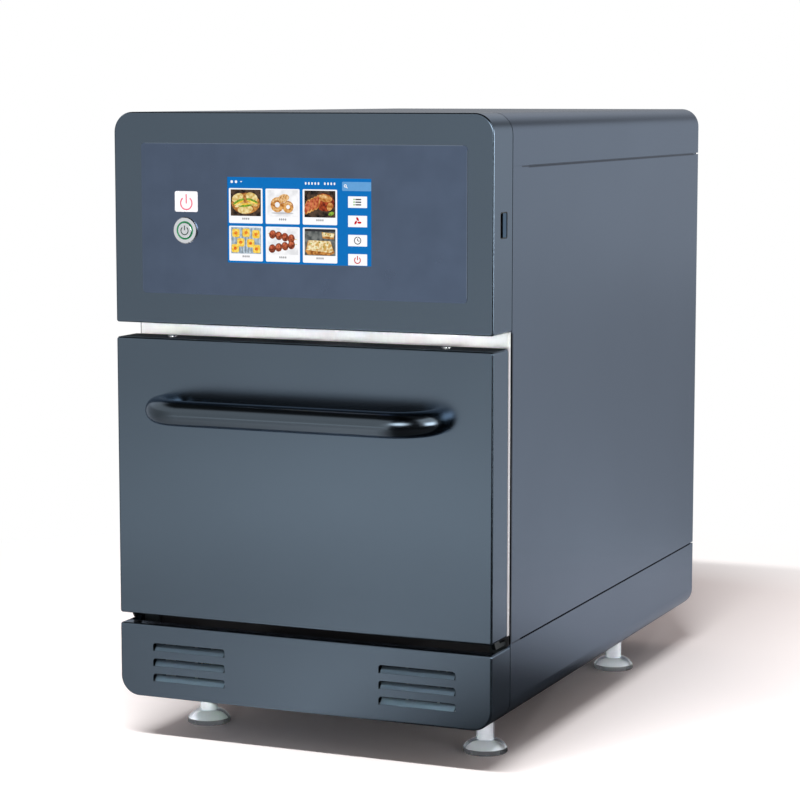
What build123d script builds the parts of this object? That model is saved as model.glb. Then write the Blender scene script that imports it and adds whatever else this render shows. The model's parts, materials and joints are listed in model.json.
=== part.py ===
from build123d import *
import math
import os

# Countertop speed oven: a folded-steel cabinet with a control hood, a drop-down door and a kick panel.
# Millimetres. +Z is up, the front faces -Y, +X is the right side as seen from the front.
# The origin is on the ground, in the middle of the whole oven, handle and cable gland included.

# Cabinet
body_width = 400
body_depth = 607
corner_radius = 20
sheet = 1.5
bend_radius = 2
fold_corner = 2.5
flange_width = 10
plate_inset = 1.5
upper_seam_drop = 50
lower_seam_height = 75
seam_gap = 1.5
seam_hairline = 0.1
upper_seam_start = 43
lower_seam_start = 26
lip_height = 12
joggle_height = 6
rear_inset = 2

# Heights of the front, from the ground up
foot_height = 47
kick_height = 74
kick_gap = 10
door_height = 277.5
hood_gap = 15
hood_height = 206.5

# Depths of the front
front_depth = 48
door_depth = 39
handle_reach = 45
handle_diameter = 25

# Fits
seat_gap = 0.3
running_gap = 0.06
overrun = 3

# Counts that shapes share
full_turn = 360
hex_sides = 6

# Control hood
overlay_side = 28.5
overlay_drop = 30
overlay_corner = 4
overlay_thickness = 0.5
overlay_rise = 30
overlay_shift = 2.2
display_width = 152
display_height = 82.5
display_rise = 62
display_shift = 0.5
glass_margin = 1.5
module_width = 170
module_height = 100
module_depth = 7
module_ear = 12
ear_thickness = 1.2
stud_radius = 3
board_width = 162
board_margin = 12
board_height = 92
board_thickness = 1.6
board_standoff = 6
processor_size = 28
connector_columns = 3
connector_spread = 56
connector_length = 30
connector_height = 8
label_width = 25
label_height = 20
label_corner = 1.8
label_thickness = 0.3
label_rise = 120
label_shift = 1
button_rise = 92
button_offset = 121
button_travel = 2.5
button_radius = 7.4
button_proud = 0.6
button_length = 9
button_stem_radius = 3
light_ring_width = 1.3
light_ring_depth = 4
switch_flange_radius = 13
switch_flange_thickness = 2
switch_barrel_radius = 10.8
switch_barrel_length = 28
switch_back_wall = 3
switch_chamfer = 0.8
switch_nut_flats = 27
switch_nut_thickness = 3.5
terminal_width = 5
terminal_length = 8
terminal_pitch = 8
usb_width = 18.5
usb_height = 24.8
usb_corner = 2.5
usb_setback = 26.2
usb_rise = 102
usb_depth = 18
usb_recess = 4
usb_wall = 1
usb_port_width = 5.2
usb_port_height = 12.6
usb_port_depth = 7
usb_tongue = 1.6

# Openings in the front plate, for the wiring behind the hood and the air behind the kick panel
wiring_side = 80
wiring_edge = 51
intake_side = 60
intake_edge = 19

# Kick panel
louvre_rows = 3
louvre_length = 80
louvre_height = 8
louvre_pitch = 15.5
louvre_drop = 18.5
louvre_side_margin = 37
louvre_corner = 3
louvre_slit = 1.5
flap_reach = 5.5
flap_rise = 5.6
kick_flange_height = 12
kick_top_flange = 14
filter_side = 35
filter_height = 56
filter_depth = 8
filter_border = 7
filter_bar = 2
filter_bars = 9
filter_bar_pitch = 33
filter_setback = 30

# Door
hinge_setback = 9
hinge_rise = 6.5
hinge_pin_radius = 3
hinge_pin_length = 17
hinge_eye_radius = 5.5
hinge_arm_thickness = 4
hinge_arm_inset = 4
hinge_arm_height = 4
hinge_arm_back = 12
hinge_arm_front = 6
hinge_arm_drop = 8.5
hinge_arm_bend = 22
hinge_foot_width = 16
hinge_foot_height = 34
hinge_foot_thickness = 3
hinge_block_width = 20
hinge_block_depth = 20
hinge_block_height = 15
hinge_slot_gap = 0.4
inner_sheet = 1.2
plug_gap = 4
plug_depth = 8
gasket_width = 6
gasket_gap = 3
gasket_corner = 16
choke_width = 9
choke_gap = 2
choke_height = 8
choke_wall = 1.5
handle_inset = 55
handle_drop = 67
handle_bend = 38
bolt_radius = 4
bolt_length = 12
bolt_head_radius = 6.5
bolt_head_height = 5
top_screw_inset = 54
top_screw_setback = 17
screw_head_radius = 4.5
screw_head_height = 2.6
screw_shank_radius = 1.8
hook_inset = 19
hook_drop = 30
hook_thickness = 4
hook_height = 14
hook_reach = 12
hook_notch = 5
hook_neck = 4
hook_slot_gap = 2
hook_slot_lift = 5

# Cooking chamber
chamber_side = 44
chamber_drop = 39.5
chamber_depth = 300
chamber_rise = 34
liner_sheet = 1.2
plenum_height = 16
blower_chamber_depth = 59
insulation = 18
liner_flange = 9
jet_columns = 5
jet_rows = 5
jet_radius = 6
jet_margin = 36
runner_width = 10
runner_rise = 26
rack_wire = 4
rack_bars = 12
rack_margin = 5
catalyst_size = 110
catalyst_depth = 15
catalyst_cells = 5
catalyst_wall = 2.5
intake_radius = 48
impeller_radius = 74
impeller_depth = 30
impeller_plate = 1.5
impeller_eye_radius = 50
impeller_hub_radius = 13
impeller_blades = 12
blade_bow_share = 0.68
shaft_radius = 5
shaft_hole_radius = 9
heater_radius = 90
heater_tube_radius = 3.5
heater_pitch = 16
heater_lead_spread = 24
heater_lead_length = 32

# Machinery
motor_radius = 46
motor_length = 92
motor_flange_size = 124
motor_flange_thickness = 4
motor_cap_radius = 38
motor_cap_length = 10
upright_width = 220
upright_thickness = 2
motor_rib = 2
motor_ribs = 12
shaft_seat = 60
cradle_inset = 26
cradle_foot = 16
shelf_upstand = 16
guide_width = 90
guide_height = 44
guide_length = 150
guide_wall = 1.5
guide_inset = 76
guide_setback = 120
guide_drop_length = 46
magnetron_width = 84
magnetron_depth = 76
magnetron_height = 62
magnetron_fins = 7
magnetron_fin = 1
magnetron_core_radius = 22
magnetron_antenna_radius = 10
magnetron_antenna_length = 20
magnetron_plate = 2
magnetron_cap_height = 24
magnetron_cap_width = 58
magnetron_cap_depth = 52
transformer_spread = 110
transformer_width = 62
transformer_depth = 100
transformer_height = 78
winding_width = 92
winding_depth = 58
winding_height = 46
winding_corner = 8
transformer_rear_gap = 155
capacitor_spread = 80
capacitor_width = 52
capacitor_depth = 32
capacitor_height = 92
capacitor_rear_gap = 65
capacitor_tab = 6
power_board_width = 150
power_board_depth = 120
power_board_rear_gap = 185
power_board_shift = 85
heatsink_height = 34
heatsink_width = 60
heatsink_depth = 84
heatsink_shift = 30
heatsink_fins = 6
can_radius = 11
can_height = 30
can_shift = 38
can_pitch = 40
filter_box_width = 110
filter_box_depth = 62
filter_box_height = 44
filter_box_ear = 12
filter_box_rear_gap = 135
filter_box_shift = 95
terminal_block_width = 62
terminal_block_depth = 24
terminal_block_height = 22
terminal_block_rear_gap = 70
terminal_screw_radius = 3
terminal_ways = 4
switch_body_width = 10
switch_body_depth = 28
switch_body_height = 16

# Rear
fan_size = 119
fan_depth = 38
fan_shift = 92
fan_rise = 205
fan_bore_radius = 56
fan_hub_radius = 20
fan_blades = 7
fan_blade_radius = 54
fan_blade_thickness = 1.8
fan_blade_tilt = 38
fan_rotor_depth = 26
fan_pin_radius = 3
fan_arms = 3
fan_arm_width = 6
fan_arm_depth = 4
guard_thickness = 2
guard_ring = 2
guard_rings = 4
guard_ear_radius = 5
guard_spoke_angles = (45, 135)
fan_hole_pitch = 105
vent_columns = 2
vent_rows = 9
vent_length = 120
vent_height = 4
vent_pitch = 10
vent_shift = 82.5
vent_rise = 455
gland_shift = 140
gland_rise = 52
gland_reach = 22
gland_nut_flats = 30
gland_nut_length = 9
gland_radius = 12
gland_bore_radius = 6
gland_inside = 14
gland_dome = 4
pipe_radius = 14
pipe_wall = 1.5
pipe_bend = 34
pipe_rise = 51
panel_screws_high = 5
screw_inset = 7

# Feet
foot_inset = 46
foot_front_setback = 102
foot_rear_gap = 153
foot_rim_radius = 22.2
foot_rim_height = 4.8
foot_dome_height = 8
foot_dome_bulge = 1.4
foot_stem_radius = 9
foot_edge = 0.8
stud_thread_radius = 6
stud_length = 26
bush_radius = 9.7
bush_flange_radius = 13
bush_flange_thickness = 2
bush_height = 18

# Places worked out from the sizes
z_base = foot_height
z_kick_top = z_base + kick_height
z_door_bottom = z_kick_top + kick_gap
z_door_top = z_door_bottom + door_height
z_hood_bottom = z_door_top + hood_gap
z_top = z_hood_bottom + hood_height
body_height = z_top - z_base
z_middle = (z_base + z_top) / 2
z_door_middle = (z_door_bottom + z_door_top) / 2
z_lower_seam = z_base + lower_seam_height
z_upper_seam = z_top - upper_seam_drop
z_floor = z_base + sheet
handle_front = handle_reach + handle_diameter / 2
overall_depth = handle_front + front_depth + body_depth + gland_reach
y_front = handle_front - overall_depth / 2
y_plate = y_front + front_depth
y_shell = y_plate + sheet
y_rear = y_plate + body_depth
y_panel = y_rear - rear_inset - sheet
y_rear_flange = y_panel - sheet
y_door_back = y_front + door_depth
chamber_width = body_width - 2 * chamber_side
chamber_height = door_height - chamber_rise - chamber_drop
z_chamber = z_door_bottom + chamber_rise
z_chamber_middle = z_chamber + chamber_height / 2
liner_height = chamber_height + 2 * plenum_height
liner_depth = chamber_depth + blower_chamber_depth
y_baffle = y_shell + chamber_depth
y_liner_back = y_shell + liner_depth
y_insulation_back = y_liner_back + liner_sheet + insulation
insulation_width = chamber_width + 2 * (liner_sheet + insulation)
insulation_height = liner_height + 2 * (liner_sheet + insulation)
z_insulation_top = z_chamber_middle + insulation_height / 2
z_insulation_bottom = z_chamber_middle - insulation_height / 2
z_shelf_top = z_insulation_top + sheet
y_hinge = y_front + hinge_setback
z_hinge = z_door_bottom + hinge_rise
x_hinge_arm = body_width / 2 - hinge_arm_inset - hinge_arm_thickness / 2
x_hinge_inner = x_hinge_arm - hinge_arm_thickness / 2
foot_places = [
    (side * (body_width / 2 - foot_inset), y)
    for y in (y_front + foot_front_setback, y_rear - foot_rear_gap)
    for side in (-1, 1)
]

os.makedirs("parts", exist_ok=True)


def facing_front(y):
    """A sketch plane across the oven at depth y: X to the right, Z up, extruding towards the front."""
    return Plane.XZ.offset(-y)


def write(name, piece):
    """Labels a finished piece and writes it to its own file."""
    piece.part.label = name
    export_step(piece.part, f"parts/{name}.step")


def cabinet_band(y, wall, low, high, side=0):
    """The cabinet's wall at depth y between two heights, all round or on one side only."""
    with BuildSketch(facing_front(y)) as band:
        with Locations((0, z_middle)):
            RectangleRounded(body_width, body_height, corner_radius)
            RectangleRounded(
                body_width - 2 * wall, body_height - 2 * wall, corner_radius - wall, mode=Mode.SUBTRACT
            )
        with Locations((side * body_width, (low + high) / 2)):
            Rectangle(2 * body_width, high - low, mode=Mode.INTERSECT)
    return band.sketch


def hexagon(flats):
    """The corner radius of a hexagon that measures flats across its flats."""
    return flats / math.sqrt(3)


# Base tray: the cabinet's lower sheet, folded up at both sides, with a flange at each end
with BuildPart() as base_tray:
    extrude(cabinet_band(y_rear, sheet, z_base, z_lower_seam), amount=y_rear - y_shell)
    extrude(cabinet_band(y_shell + sheet, flange_width, z_base, z_lower_seam), amount=sheet)
    extrude(cabinet_band(y_panel, flange_width, z_base, z_lower_seam), amount=sheet)
    with BuildSketch(Plane.XY.offset(z_base - overrun)):
        with Locations(*foot_places):
            Circle(bush_radius + seat_gap)
    extrude(amount=sheet + 2 * overrun, mode=Mode.SUBTRACT)
write("base_tray", base_tray)

# Top cover: the upper sheet, folded down at both sides
with BuildPart() as top_cover:
    extrude(cabinet_band(y_rear, sheet, z_upper_seam, z_top), amount=y_rear - y_shell)
    extrude(cabinet_band(y_shell + sheet, flange_width, z_upper_seam, z_top), amount=sheet)
    extrude(cabinet_band(y_panel, flange_width, z_upper_seam, z_top), amount=sheet)
write("top_cover", top_cover)


def side_panel(side):
    """A flat side sheet with end flanges, and joggled lips that go behind the two seams."""
    low = z_lower_seam + seam_gap
    high = z_upper_seam - seam_gap
    outer = side * body_width / 2
    lip_length = y_rear_flange - y_shell - sheet - 2 * seat_gap
    with BuildPart() as panel:
        extrude(cabinet_band(y_rear, sheet, low, high, side), amount=y_rear - y_shell)
        extrude(cabinet_band(y_shell + sheet, flange_width, low, high, side), amount=sheet)
        extrude(cabinet_band(y_panel, flange_width, low, high, side), amount=sheet)
        for edge, seam, way, start in (
            (low, z_lower_seam, -1, lower_seam_start),
            (high, z_upper_seam, 1, upper_seam_start),
        ):
            with BuildSketch(facing_front(y_rear_flange - seat_gap)):
                with Locations((outer - side * (sheet + seat_gap + sheet / 2), (edge + seam) / 2)):
                    Rectangle(sheet, 2 * lip_height)
                with Locations((outer - side * (sheet + seat_gap / 2), edge - way * joggle_height / 2)):
                    Rectangle(seat_gap, joggle_height)
            extrude(amount=lip_length)
            with BuildSketch(facing_front(y_shell + start)):
                with Locations((outer - side * sheet / 2, (edge + seam - way * seam_hairline) / 2)):
                    Rectangle(sheet, seam_gap - seam_hairline)
            extrude(amount=start)
    return panel


left_side_panel = side_panel(-1)
write("left_side_panel", left_side_panel)
right_side_panel = side_panel(1)
write("right_side_panel", right_side_panel)

# Rear panel: set inside the cabinet's end, with vent slots and holes for the fan, gland, pipe and screws
panel_fit = sheet + seat_gap
screw_x = body_width / 2 - screw_inset
screw_pitch = (body_height - 2 * corner_radius) / (panel_screws_high - 1)
screw_places = [
    (side * screw_x, z_base + corner_radius + row * screw_pitch)
    for side in (-1, 1)
    for row in range(panel_screws_high)
]
z_fan = z_base + fan_rise
z_gland = z_base + gland_rise
z_pipe = z_shelf_top + pipe_rise
with BuildPart() as rear_panel:
    with BuildSketch(facing_front(y_panel + sheet)):
        with Locations((0, z_middle)):
            RectangleRounded(
                body_width - 2 * panel_fit, body_height - 2 * panel_fit, corner_radius - panel_fit
            )
        with Locations((fan_shift, z_fan)):
            Circle(fan_bore_radius, mode=Mode.SUBTRACT)
        with Locations((-gland_shift, z_gland)):
            Circle(gland_radius + seat_gap, mode=Mode.SUBTRACT)
        with Locations((0, z_pipe)):
            Circle(pipe_radius + seat_gap, mode=Mode.SUBTRACT)
        with Locations(*screw_places):
            Circle(screw_shank_radius + seat_gap, mode=Mode.SUBTRACT)
        with Locations((0, z_base + vent_rise + vent_rows * vent_pitch / 2)):
            with GridLocations(2 * vent_shift, vent_pitch, vent_columns, vent_rows):
                SlotOverall(vent_length, vent_height, mode=Mode.SUBTRACT)
    extrude(amount=sheet)
write("rear_panel", rear_panel)

# Rear panel screws: pan heads on the panel, each with its shank in its hole
with BuildPart() as rear_panel_screws:
    with BuildSketch(facing_front(y_panel + sheet + screw_head_height)):
        with Locations(*screw_places):
            Circle(screw_head_radius)
    extrude(amount=screw_head_height)
    fillet(rear_panel_screws.edges().group_by(Axis.Y)[-1], screw_head_height / 2)
    with BuildSketch(facing_front(y_panel + sheet)):
        with Locations(*screw_places):
            Circle(screw_shank_radius)
    extrude(amount=sheet - seat_gap)
write("rear_panel_screws", rear_panel_screws)

# Front plate: stainless, behind the hood, door and kick panel, with the chamber's mouth and the hook slots
hook_x = body_width / 2 - hook_inset
z_hook = z_door_top - hook_drop
with BuildPart() as front_plate:
    with BuildSketch(facing_front(y_shell)):
        with Locations((0, z_middle)):
            RectangleRounded(
                body_width - 2 * plate_inset, body_height - 2 * plate_inset, corner_radius - plate_inset
            )
        with Locations((0, z_chamber_middle)):
            Rectangle(chamber_width, chamber_height, mode=Mode.SUBTRACT)
        with Locations((0, z_hood_bottom + hood_height / 2)):
            RectangleRounded(
                body_width - 2 * wiring_side, hood_height - 2 * wiring_edge, corner_radius, mode=Mode.SUBTRACT
            )
        with Locations((0, z_base + kick_height / 2)):
            RectangleRounded(
                body_width - 2 * intake_side, kick_height - 2 * intake_edge, bend_radius, mode=Mode.SUBTRACT
            )
        for side in (-1, 1):
            with Locations((side * hook_x, z_hook + hook_slot_lift / 2)):
                Rectangle(
                    hook_thickness + 2 * hook_slot_gap,
                    hook_height + 2 * hook_slot_gap + hook_slot_lift,
                    mode=Mode.SUBTRACT,
                )
    extrude(amount=sheet)
write("front_plate", front_plate)

# Control hood: a deep housing with rounded top corners, open behind
overlay_width = body_width - 2 * overlay_side
overlay_height = hood_height - overlay_rise - overlay_drop
z_overlay = z_hood_bottom + overlay_rise + overlay_height / 2
z_display = z_hood_bottom + display_rise + display_height / 2
x_button = -button_offset
z_button = z_hood_bottom + button_rise
y_usb = y_front + usb_setback
z_usb = z_hood_bottom + usb_rise
glass_width = display_width + 2 * glass_margin
glass_height = display_height + 2 * glass_margin
with BuildPart() as control_hood:
    with BuildSketch(facing_front(y_plate)) as hood_outline:
        with Locations((0, z_hood_bottom + hood_height / 2)):
            Rectangle(body_width, hood_height)
        fillet(hood_outline.vertices().group_by(Axis.Y)[-1], corner_radius)
        fillet(hood_outline.vertices().group_by(Axis.Y)[0], fold_corner)
    extrude(amount=front_depth)
    fillet(control_hood.faces().sort_by(Axis.Y)[0].edges(), bend_radius)
    with BuildSketch(facing_front(y_plate - sheet)) as hood_inside:
        with Locations((0, z_hood_bottom + hood_height / 2)):
            Rectangle(body_width - 2 * sheet, hood_height - 2 * sheet)
        fillet(hood_inside.vertices().group_by(Axis.Y)[-1], corner_radius - sheet)
    extrude(amount=front_depth - 2 * sheet, mode=Mode.SUBTRACT)
    with BuildSketch(facing_front(y_plate)):
        with Locations((0, z_hood_bottom + hood_height / 2)):
            RectangleRounded(
                body_width - 2 * flange_width, hood_height - 2 * flange_width, corner_radius - flange_width
            )
    extrude(amount=sheet, mode=Mode.SUBTRACT)
    with BuildSketch(facing_front(y_front + sheet + overrun)):
        with Locations((display_shift, z_display)):
            Rectangle(glass_width + 2 * seat_gap, glass_height + 2 * seat_gap)
        with Locations((x_button, z_button)):
            Circle(switch_barrel_radius + seat_gap)
    extrude(amount=sheet + 2 * overrun, mode=Mode.SUBTRACT)
    with BuildSketch(Plane.YZ.offset(body_width / 2 - sheet - overrun)):
        with Locations((y_usb, z_usb)):
            RectangleRounded(usb_width, usb_height, usb_corner)
    extrude(amount=sheet + 2 * overrun, mode=Mode.SUBTRACT)
write("control_hood", control_hood)

# Control overlay: a thin printed film on the hood, with windows for the display and the switch
with BuildPart() as control_overlay:
    with BuildSketch(facing_front(y_front)):
        with Locations((overlay_shift, z_overlay)):
            RectangleRounded(overlay_width, overlay_height, overlay_corner)
        with Locations((display_shift, z_display)):
            Rectangle(display_width, display_height, mode=Mode.SUBTRACT)
        with Locations((x_button, z_button)):
            Circle(switch_barrel_radius + seat_gap, mode=Mode.SUBTRACT)
    extrude(amount=overlay_thickness)
write("control_overlay", control_overlay)

# Touch display: the glass fills the hood's window, the module hangs behind the sheet on four eared studs
y_module = y_front + sheet + seat_gap
y_module_back = y_module + module_depth
with BuildPart() as touch_display:
    with BuildSketch(facing_front(y_module)):
        with Locations((display_shift, z_display)):
            Rectangle(glass_width, glass_height)
    extrude(amount=sheet + seat_gap)
    with BuildSketch(facing_front(y_module + module_depth)):
        with Locations((display_shift, z_display)):
            RectangleRounded(module_width, module_height, bend_radius)
    extrude(amount=module_depth)
    with BuildSketch(facing_front(y_module_back)):
        with Locations((display_shift, z_display)):
            with GridLocations(module_width + module_ear, module_height - module_ear, 2, 2):
                Rectangle(2 * module_ear, module_ear)
    extrude(amount=ear_thickness)
    with BuildSketch(facing_front(y_module_back)):
        with Locations((display_shift, z_display)):
            with GridLocations(module_width + module_ear, module_height - module_ear, 2, 2):
                Circle(stud_radius)
    extrude(amount=y_module_back - y_front - sheet)
write("touch_display", touch_display)

# Control board: on four standoffs behind the module, with a processor and connectors
y_board = y_module_back + board_standoff
with BuildPart() as control_board:
    with BuildSketch(facing_front(y_board + board_thickness)):
        with Locations((display_shift, z_display)):
            Rectangle(board_width, board_height)
    extrude(amount=board_thickness)
    with BuildSketch(facing_front(y_board)):
        with Locations((display_shift, z_display)):
            with GridLocations(board_width - board_margin, board_height - board_margin, 2, 2):
                Circle(stud_radius)
    extrude(amount=board_standoff)
    with BuildSketch(facing_front(y_board + 2 * board_thickness)):
        with Locations((display_shift, z_display)):
            Rectangle(processor_size, processor_size)
            with GridLocations(connector_spread, board_height - board_margin, connector_columns, 2):
                Rectangle(connector_length, connector_height)
    extrude(amount=board_thickness)
write("control_board", control_board)

# Power label: a small rounded plate on the overlay, above the switch
y_overlay = y_front - overlay_thickness
with BuildPart() as power_label:
    with BuildSketch(facing_front(y_overlay)):
        with Locations((x_button + label_shift, z_hood_bottom + label_rise)):
            RectangleRounded(label_width, label_height, label_corner)
    extrude(amount=label_thickness)
write("power_label", power_label)

# Switch housing: a turned flange and barrel, with a bore for the button and a groove for the light ring
y_flange = y_overlay - switch_flange_thickness
bore_radius = button_radius + seat_gap
ring_radius = bore_radius + light_ring_width
bore_depth = switch_flange_thickness + switch_barrel_length - switch_back_wall
switch_axis = Plane(origin=(x_button, y_flange, z_button), x_dir=(1, 0, 0), z_dir=(0, 1, 0))
with BuildPart() as switch_housing:
    with BuildSketch(switch_axis):
        Circle(switch_flange_radius)
    extrude(amount=switch_flange_thickness)
    chamfer(switch_housing.faces().sort_by(Axis.Y)[0].edges(), switch_chamfer)
    with BuildSketch(switch_axis.offset(switch_flange_thickness)):
        Circle(switch_barrel_radius)
    extrude(amount=switch_barrel_length)
    with BuildSketch(switch_axis):
        Circle(bore_radius)
    extrude(amount=bore_depth, mode=Mode.SUBTRACT)
    with BuildSketch(switch_axis):
        Circle(ring_radius)
    extrude(amount=light_ring_depth, mode=Mode.SUBTRACT)
    with BuildSketch(switch_axis.offset(switch_flange_thickness + switch_barrel_length)):
        with GridLocations(terminal_pitch, terminal_pitch, 2, 2):
            Rectangle(terminal_width, button_proud)
    extrude(amount=terminal_length)
write("switch_housing", switch_housing)

# Switch light ring: a clear ring round the button, lit green
with BuildPart() as switch_light_ring:
    with BuildSketch(switch_axis.offset(button_proud)):
        Circle(ring_radius)
        Circle(bore_radius, mode=Mode.SUBTRACT)
    extrude(amount=light_ring_depth - button_proud)
write("switch_light_ring", switch_light_ring)

# Switch nut: holds the barrel from inside the hood
with BuildPart() as switch_nut:
    with BuildSketch(facing_front(y_front + sheet + switch_nut_thickness)):
        with Locations((x_button, z_button)):
            RegularPolygon(hexagon(switch_nut_flats), hex_sides)
            Circle(switch_barrel_radius + running_gap, mode=Mode.SUBTRACT)
    extrude(amount=switch_nut_thickness)
write("switch_nut", switch_nut)

# Power button: a round cap that slides in the barrel, with the stem that works the contacts
button_axis = switch_axis.offset(-button_proud)
button_stem_length = bore_depth + button_proud - button_length - button_travel - seat_gap
with BuildPart() as power_button:
    with BuildSketch(button_axis):
        Circle(button_radius)
    extrude(amount=button_length)
    fillet(power_button.faces().sort_by(Axis.Y)[0].edges(), button_proud)
    with BuildSketch(button_axis.offset(button_length)):
        Circle(button_stem_radius)
    extrude(amount=button_stem_length)
write("power_button", power_button)

# USB socket: a plastic insert in the hood's right side, with the port at the bottom of its recess
x_side = body_width / 2
x_usb_back = x_side - usb_depth
with BuildPart() as usb_socket:
    with BuildSketch(Plane.YZ.offset(x_usb_back)):
        with Locations((y_usb, z_usb)):
            RectangleRounded(usb_width - 2 * seat_gap, usb_height - 2 * seat_gap, usb_corner - seat_gap)
    extrude(amount=usb_depth)
    with BuildSketch(Plane.YZ.offset(x_usb_back)):
        with Locations((y_usb, z_usb)):
            RectangleRounded(usb_width + 2 * usb_wall, usb_height + 2 * usb_wall, usb_corner)
    extrude(amount=usb_depth - sheet)
    with BuildSketch(Plane.YZ.offset(x_side)):
        with Locations((y_usb, z_usb)):
            Rectangle(usb_width - 2 * usb_wall, usb_height - 2 * usb_wall)
    extrude(amount=-usb_recess, mode=Mode.SUBTRACT)
    with BuildSketch(Plane.YZ.offset(x_side - usb_recess)):
        with Locations((y_usb, z_usb)):
            Rectangle(usb_port_width, usb_port_height)
            Rectangle(usb_tongue, usb_port_height - usb_wall, mode=Mode.SUBTRACT)
    extrude(amount=-usb_port_depth, mode=Mode.SUBTRACT)
write("usb_socket", usb_socket)

# Kick panel: an open-topped tray across the foot of the oven, with two groups of pressed louvres
louvre_x = body_width / 2 - louvre_side_margin - louvre_length / 2
louvre_tops = [z_kick_top - louvre_drop - row * louvre_pitch for row in range(louvre_rows)]
with BuildPart() as kick_panel:
    with BuildSketch(facing_front(y_plate)) as kick_outline:
        with Locations((0, z_base + kick_height / 2)):
            Rectangle(body_width, kick_height)
        fillet(kick_outline.vertices().group_by(Axis.Y)[0], corner_radius)
        fillet(kick_outline.vertices().group_by(Axis.Y)[-1], fold_corner)
    extrude(amount=front_depth)
    fillet(kick_panel.faces().sort_by(Axis.Y)[0].edges(), bend_radius)
    with BuildSketch(facing_front(y_plate)) as kick_inside:
        with Locations((0, z_floor)):
            Rectangle(
                body_width - 2 * sheet, kick_height - 2 * sheet, align=(Align.CENTER, Align.MIN)
            )
        fillet(kick_inside.vertices().group_by(Axis.Y)[0], corner_radius - sheet)
    extrude(amount=front_depth - sheet, mode=Mode.SUBTRACT)
    with BuildSketch(Plane.XY.offset(z_kick_top - sheet - overrun)):
        with Locations((0, y_front + kick_top_flange)):
            Rectangle(body_width - 2 * sheet, front_depth, align=(Align.CENTER, Align.MIN))
    extrude(amount=sheet + 2 * overrun, mode=Mode.SUBTRACT)
    with BuildSketch(facing_front(y_plate)):
        with Locations((0, z_floor + kick_flange_height / 2)):
            Rectangle(body_width - 2 * corner_radius, kick_flange_height)
    extrude(amount=sheet)
    for side in (-1, 1):
        for top in louvre_tops:
            with BuildSketch(facing_front(y_front + sheet + overrun)) as mouth:
                with Locations((side * louvre_x, top - louvre_height / 2)):
                    Rectangle(louvre_length, louvre_height)
                fillet(mouth.vertices().group_by(Axis.Y)[-1], louvre_corner)
            extrude(amount=sheet + 2 * overrun, mode=Mode.SUBTRACT)
            bottom = top - louvre_height
            with BuildSketch(Plane.YZ.offset(side * louvre_x)):
                with BuildLine():
                    Polyline(
                        (y_front, bottom),
                        (y_front + sheet, bottom - sheet),
                        (y_front + sheet + flap_reach, bottom + flap_rise),
                        (y_front + flap_reach, bottom + flap_rise),
                        close=True,
                    )
                make_face()
            extrude(amount=louvre_length / 2 - louvre_slit, both=True)
write("kick_panel", kick_panel)

# Air filter: a framed mesh that stands in the kick panel, behind the louvres
filter_width = body_width - 2 * filter_side
with BuildPart() as air_filter:
    with BuildSketch(facing_front(y_front + filter_setback + filter_depth)):
        with Locations((0, z_floor + filter_height / 2)):
            Rectangle(filter_width, filter_height)
            Rectangle(filter_width - 2 * filter_border, filter_height - 2 * filter_border, mode=Mode.SUBTRACT)
    extrude(amount=filter_depth)
    with BuildSketch(facing_front(y_front + filter_setback + filter_depth / 2)):
        with Locations((0, z_floor + filter_height / 2)):
            Rectangle(filter_width - filter_border, filter_bar)
            with GridLocations(filter_bar_pitch, 0, filter_bars, 1):
                Rectangle(filter_bar, filter_height - filter_border)
    extrude(amount=filter_bar)
write("air_filter", air_filter)


# Hinge brackets: stainless arms that leave the front plate below the door and turn up to a pin inside it
z_arm = z_door_bottom - hinge_arm_drop
z_arm_top = z_arm + hinge_arm_height
x_hinge_foot = x_hinge_arm + (hinge_arm_thickness - hinge_foot_width) / 2
with BuildPart() as hinge_brackets:
    for side in (-1, 1):
        with BuildSketch(Plane.YZ.offset(side * x_hinge_arm)):
            with Locations((y_hinge, z_hinge)):
                Circle(hinge_eye_radius)
            with BuildLine():
                Polyline(
                    (y_hinge, z_hinge + hinge_eye_radius),
                    (y_hinge + hinge_arm_back, z_hinge + hinge_eye_radius),
                    (y_hinge + hinge_arm_bend, z_arm_top),
                    (y_plate, z_arm_top),
                    (y_plate, z_arm),
                    (y_hinge + hinge_arm_back, z_arm),
                    (y_hinge + hinge_arm_front, z_hinge - hinge_eye_radius),
                    (y_hinge, z_hinge - hinge_eye_radius),
                    close=True,
                )
            make_face()
        extrude(amount=hinge_arm_thickness / 2, both=True)
        with BuildSketch(Plane.YZ.offset(side * x_hinge_inner)):
            with Locations((y_hinge, z_hinge)):
                Circle(hinge_pin_radius)
        extrude(amount=-side * hinge_pin_length)
        with BuildSketch(facing_front(y_plate)):
            with Locations((side * x_hinge_foot, z_arm_top)):
                Rectangle(hinge_foot_width, hinge_foot_height, align=(Align.CENTER, Align.MAX))
        extrude(amount=hinge_foot_thickness)
write("hinge_brackets", hinge_brackets)

handle_x = body_width / 2 - handle_inset
top_screw_x = body_width / 2 - top_screw_inset

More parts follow.
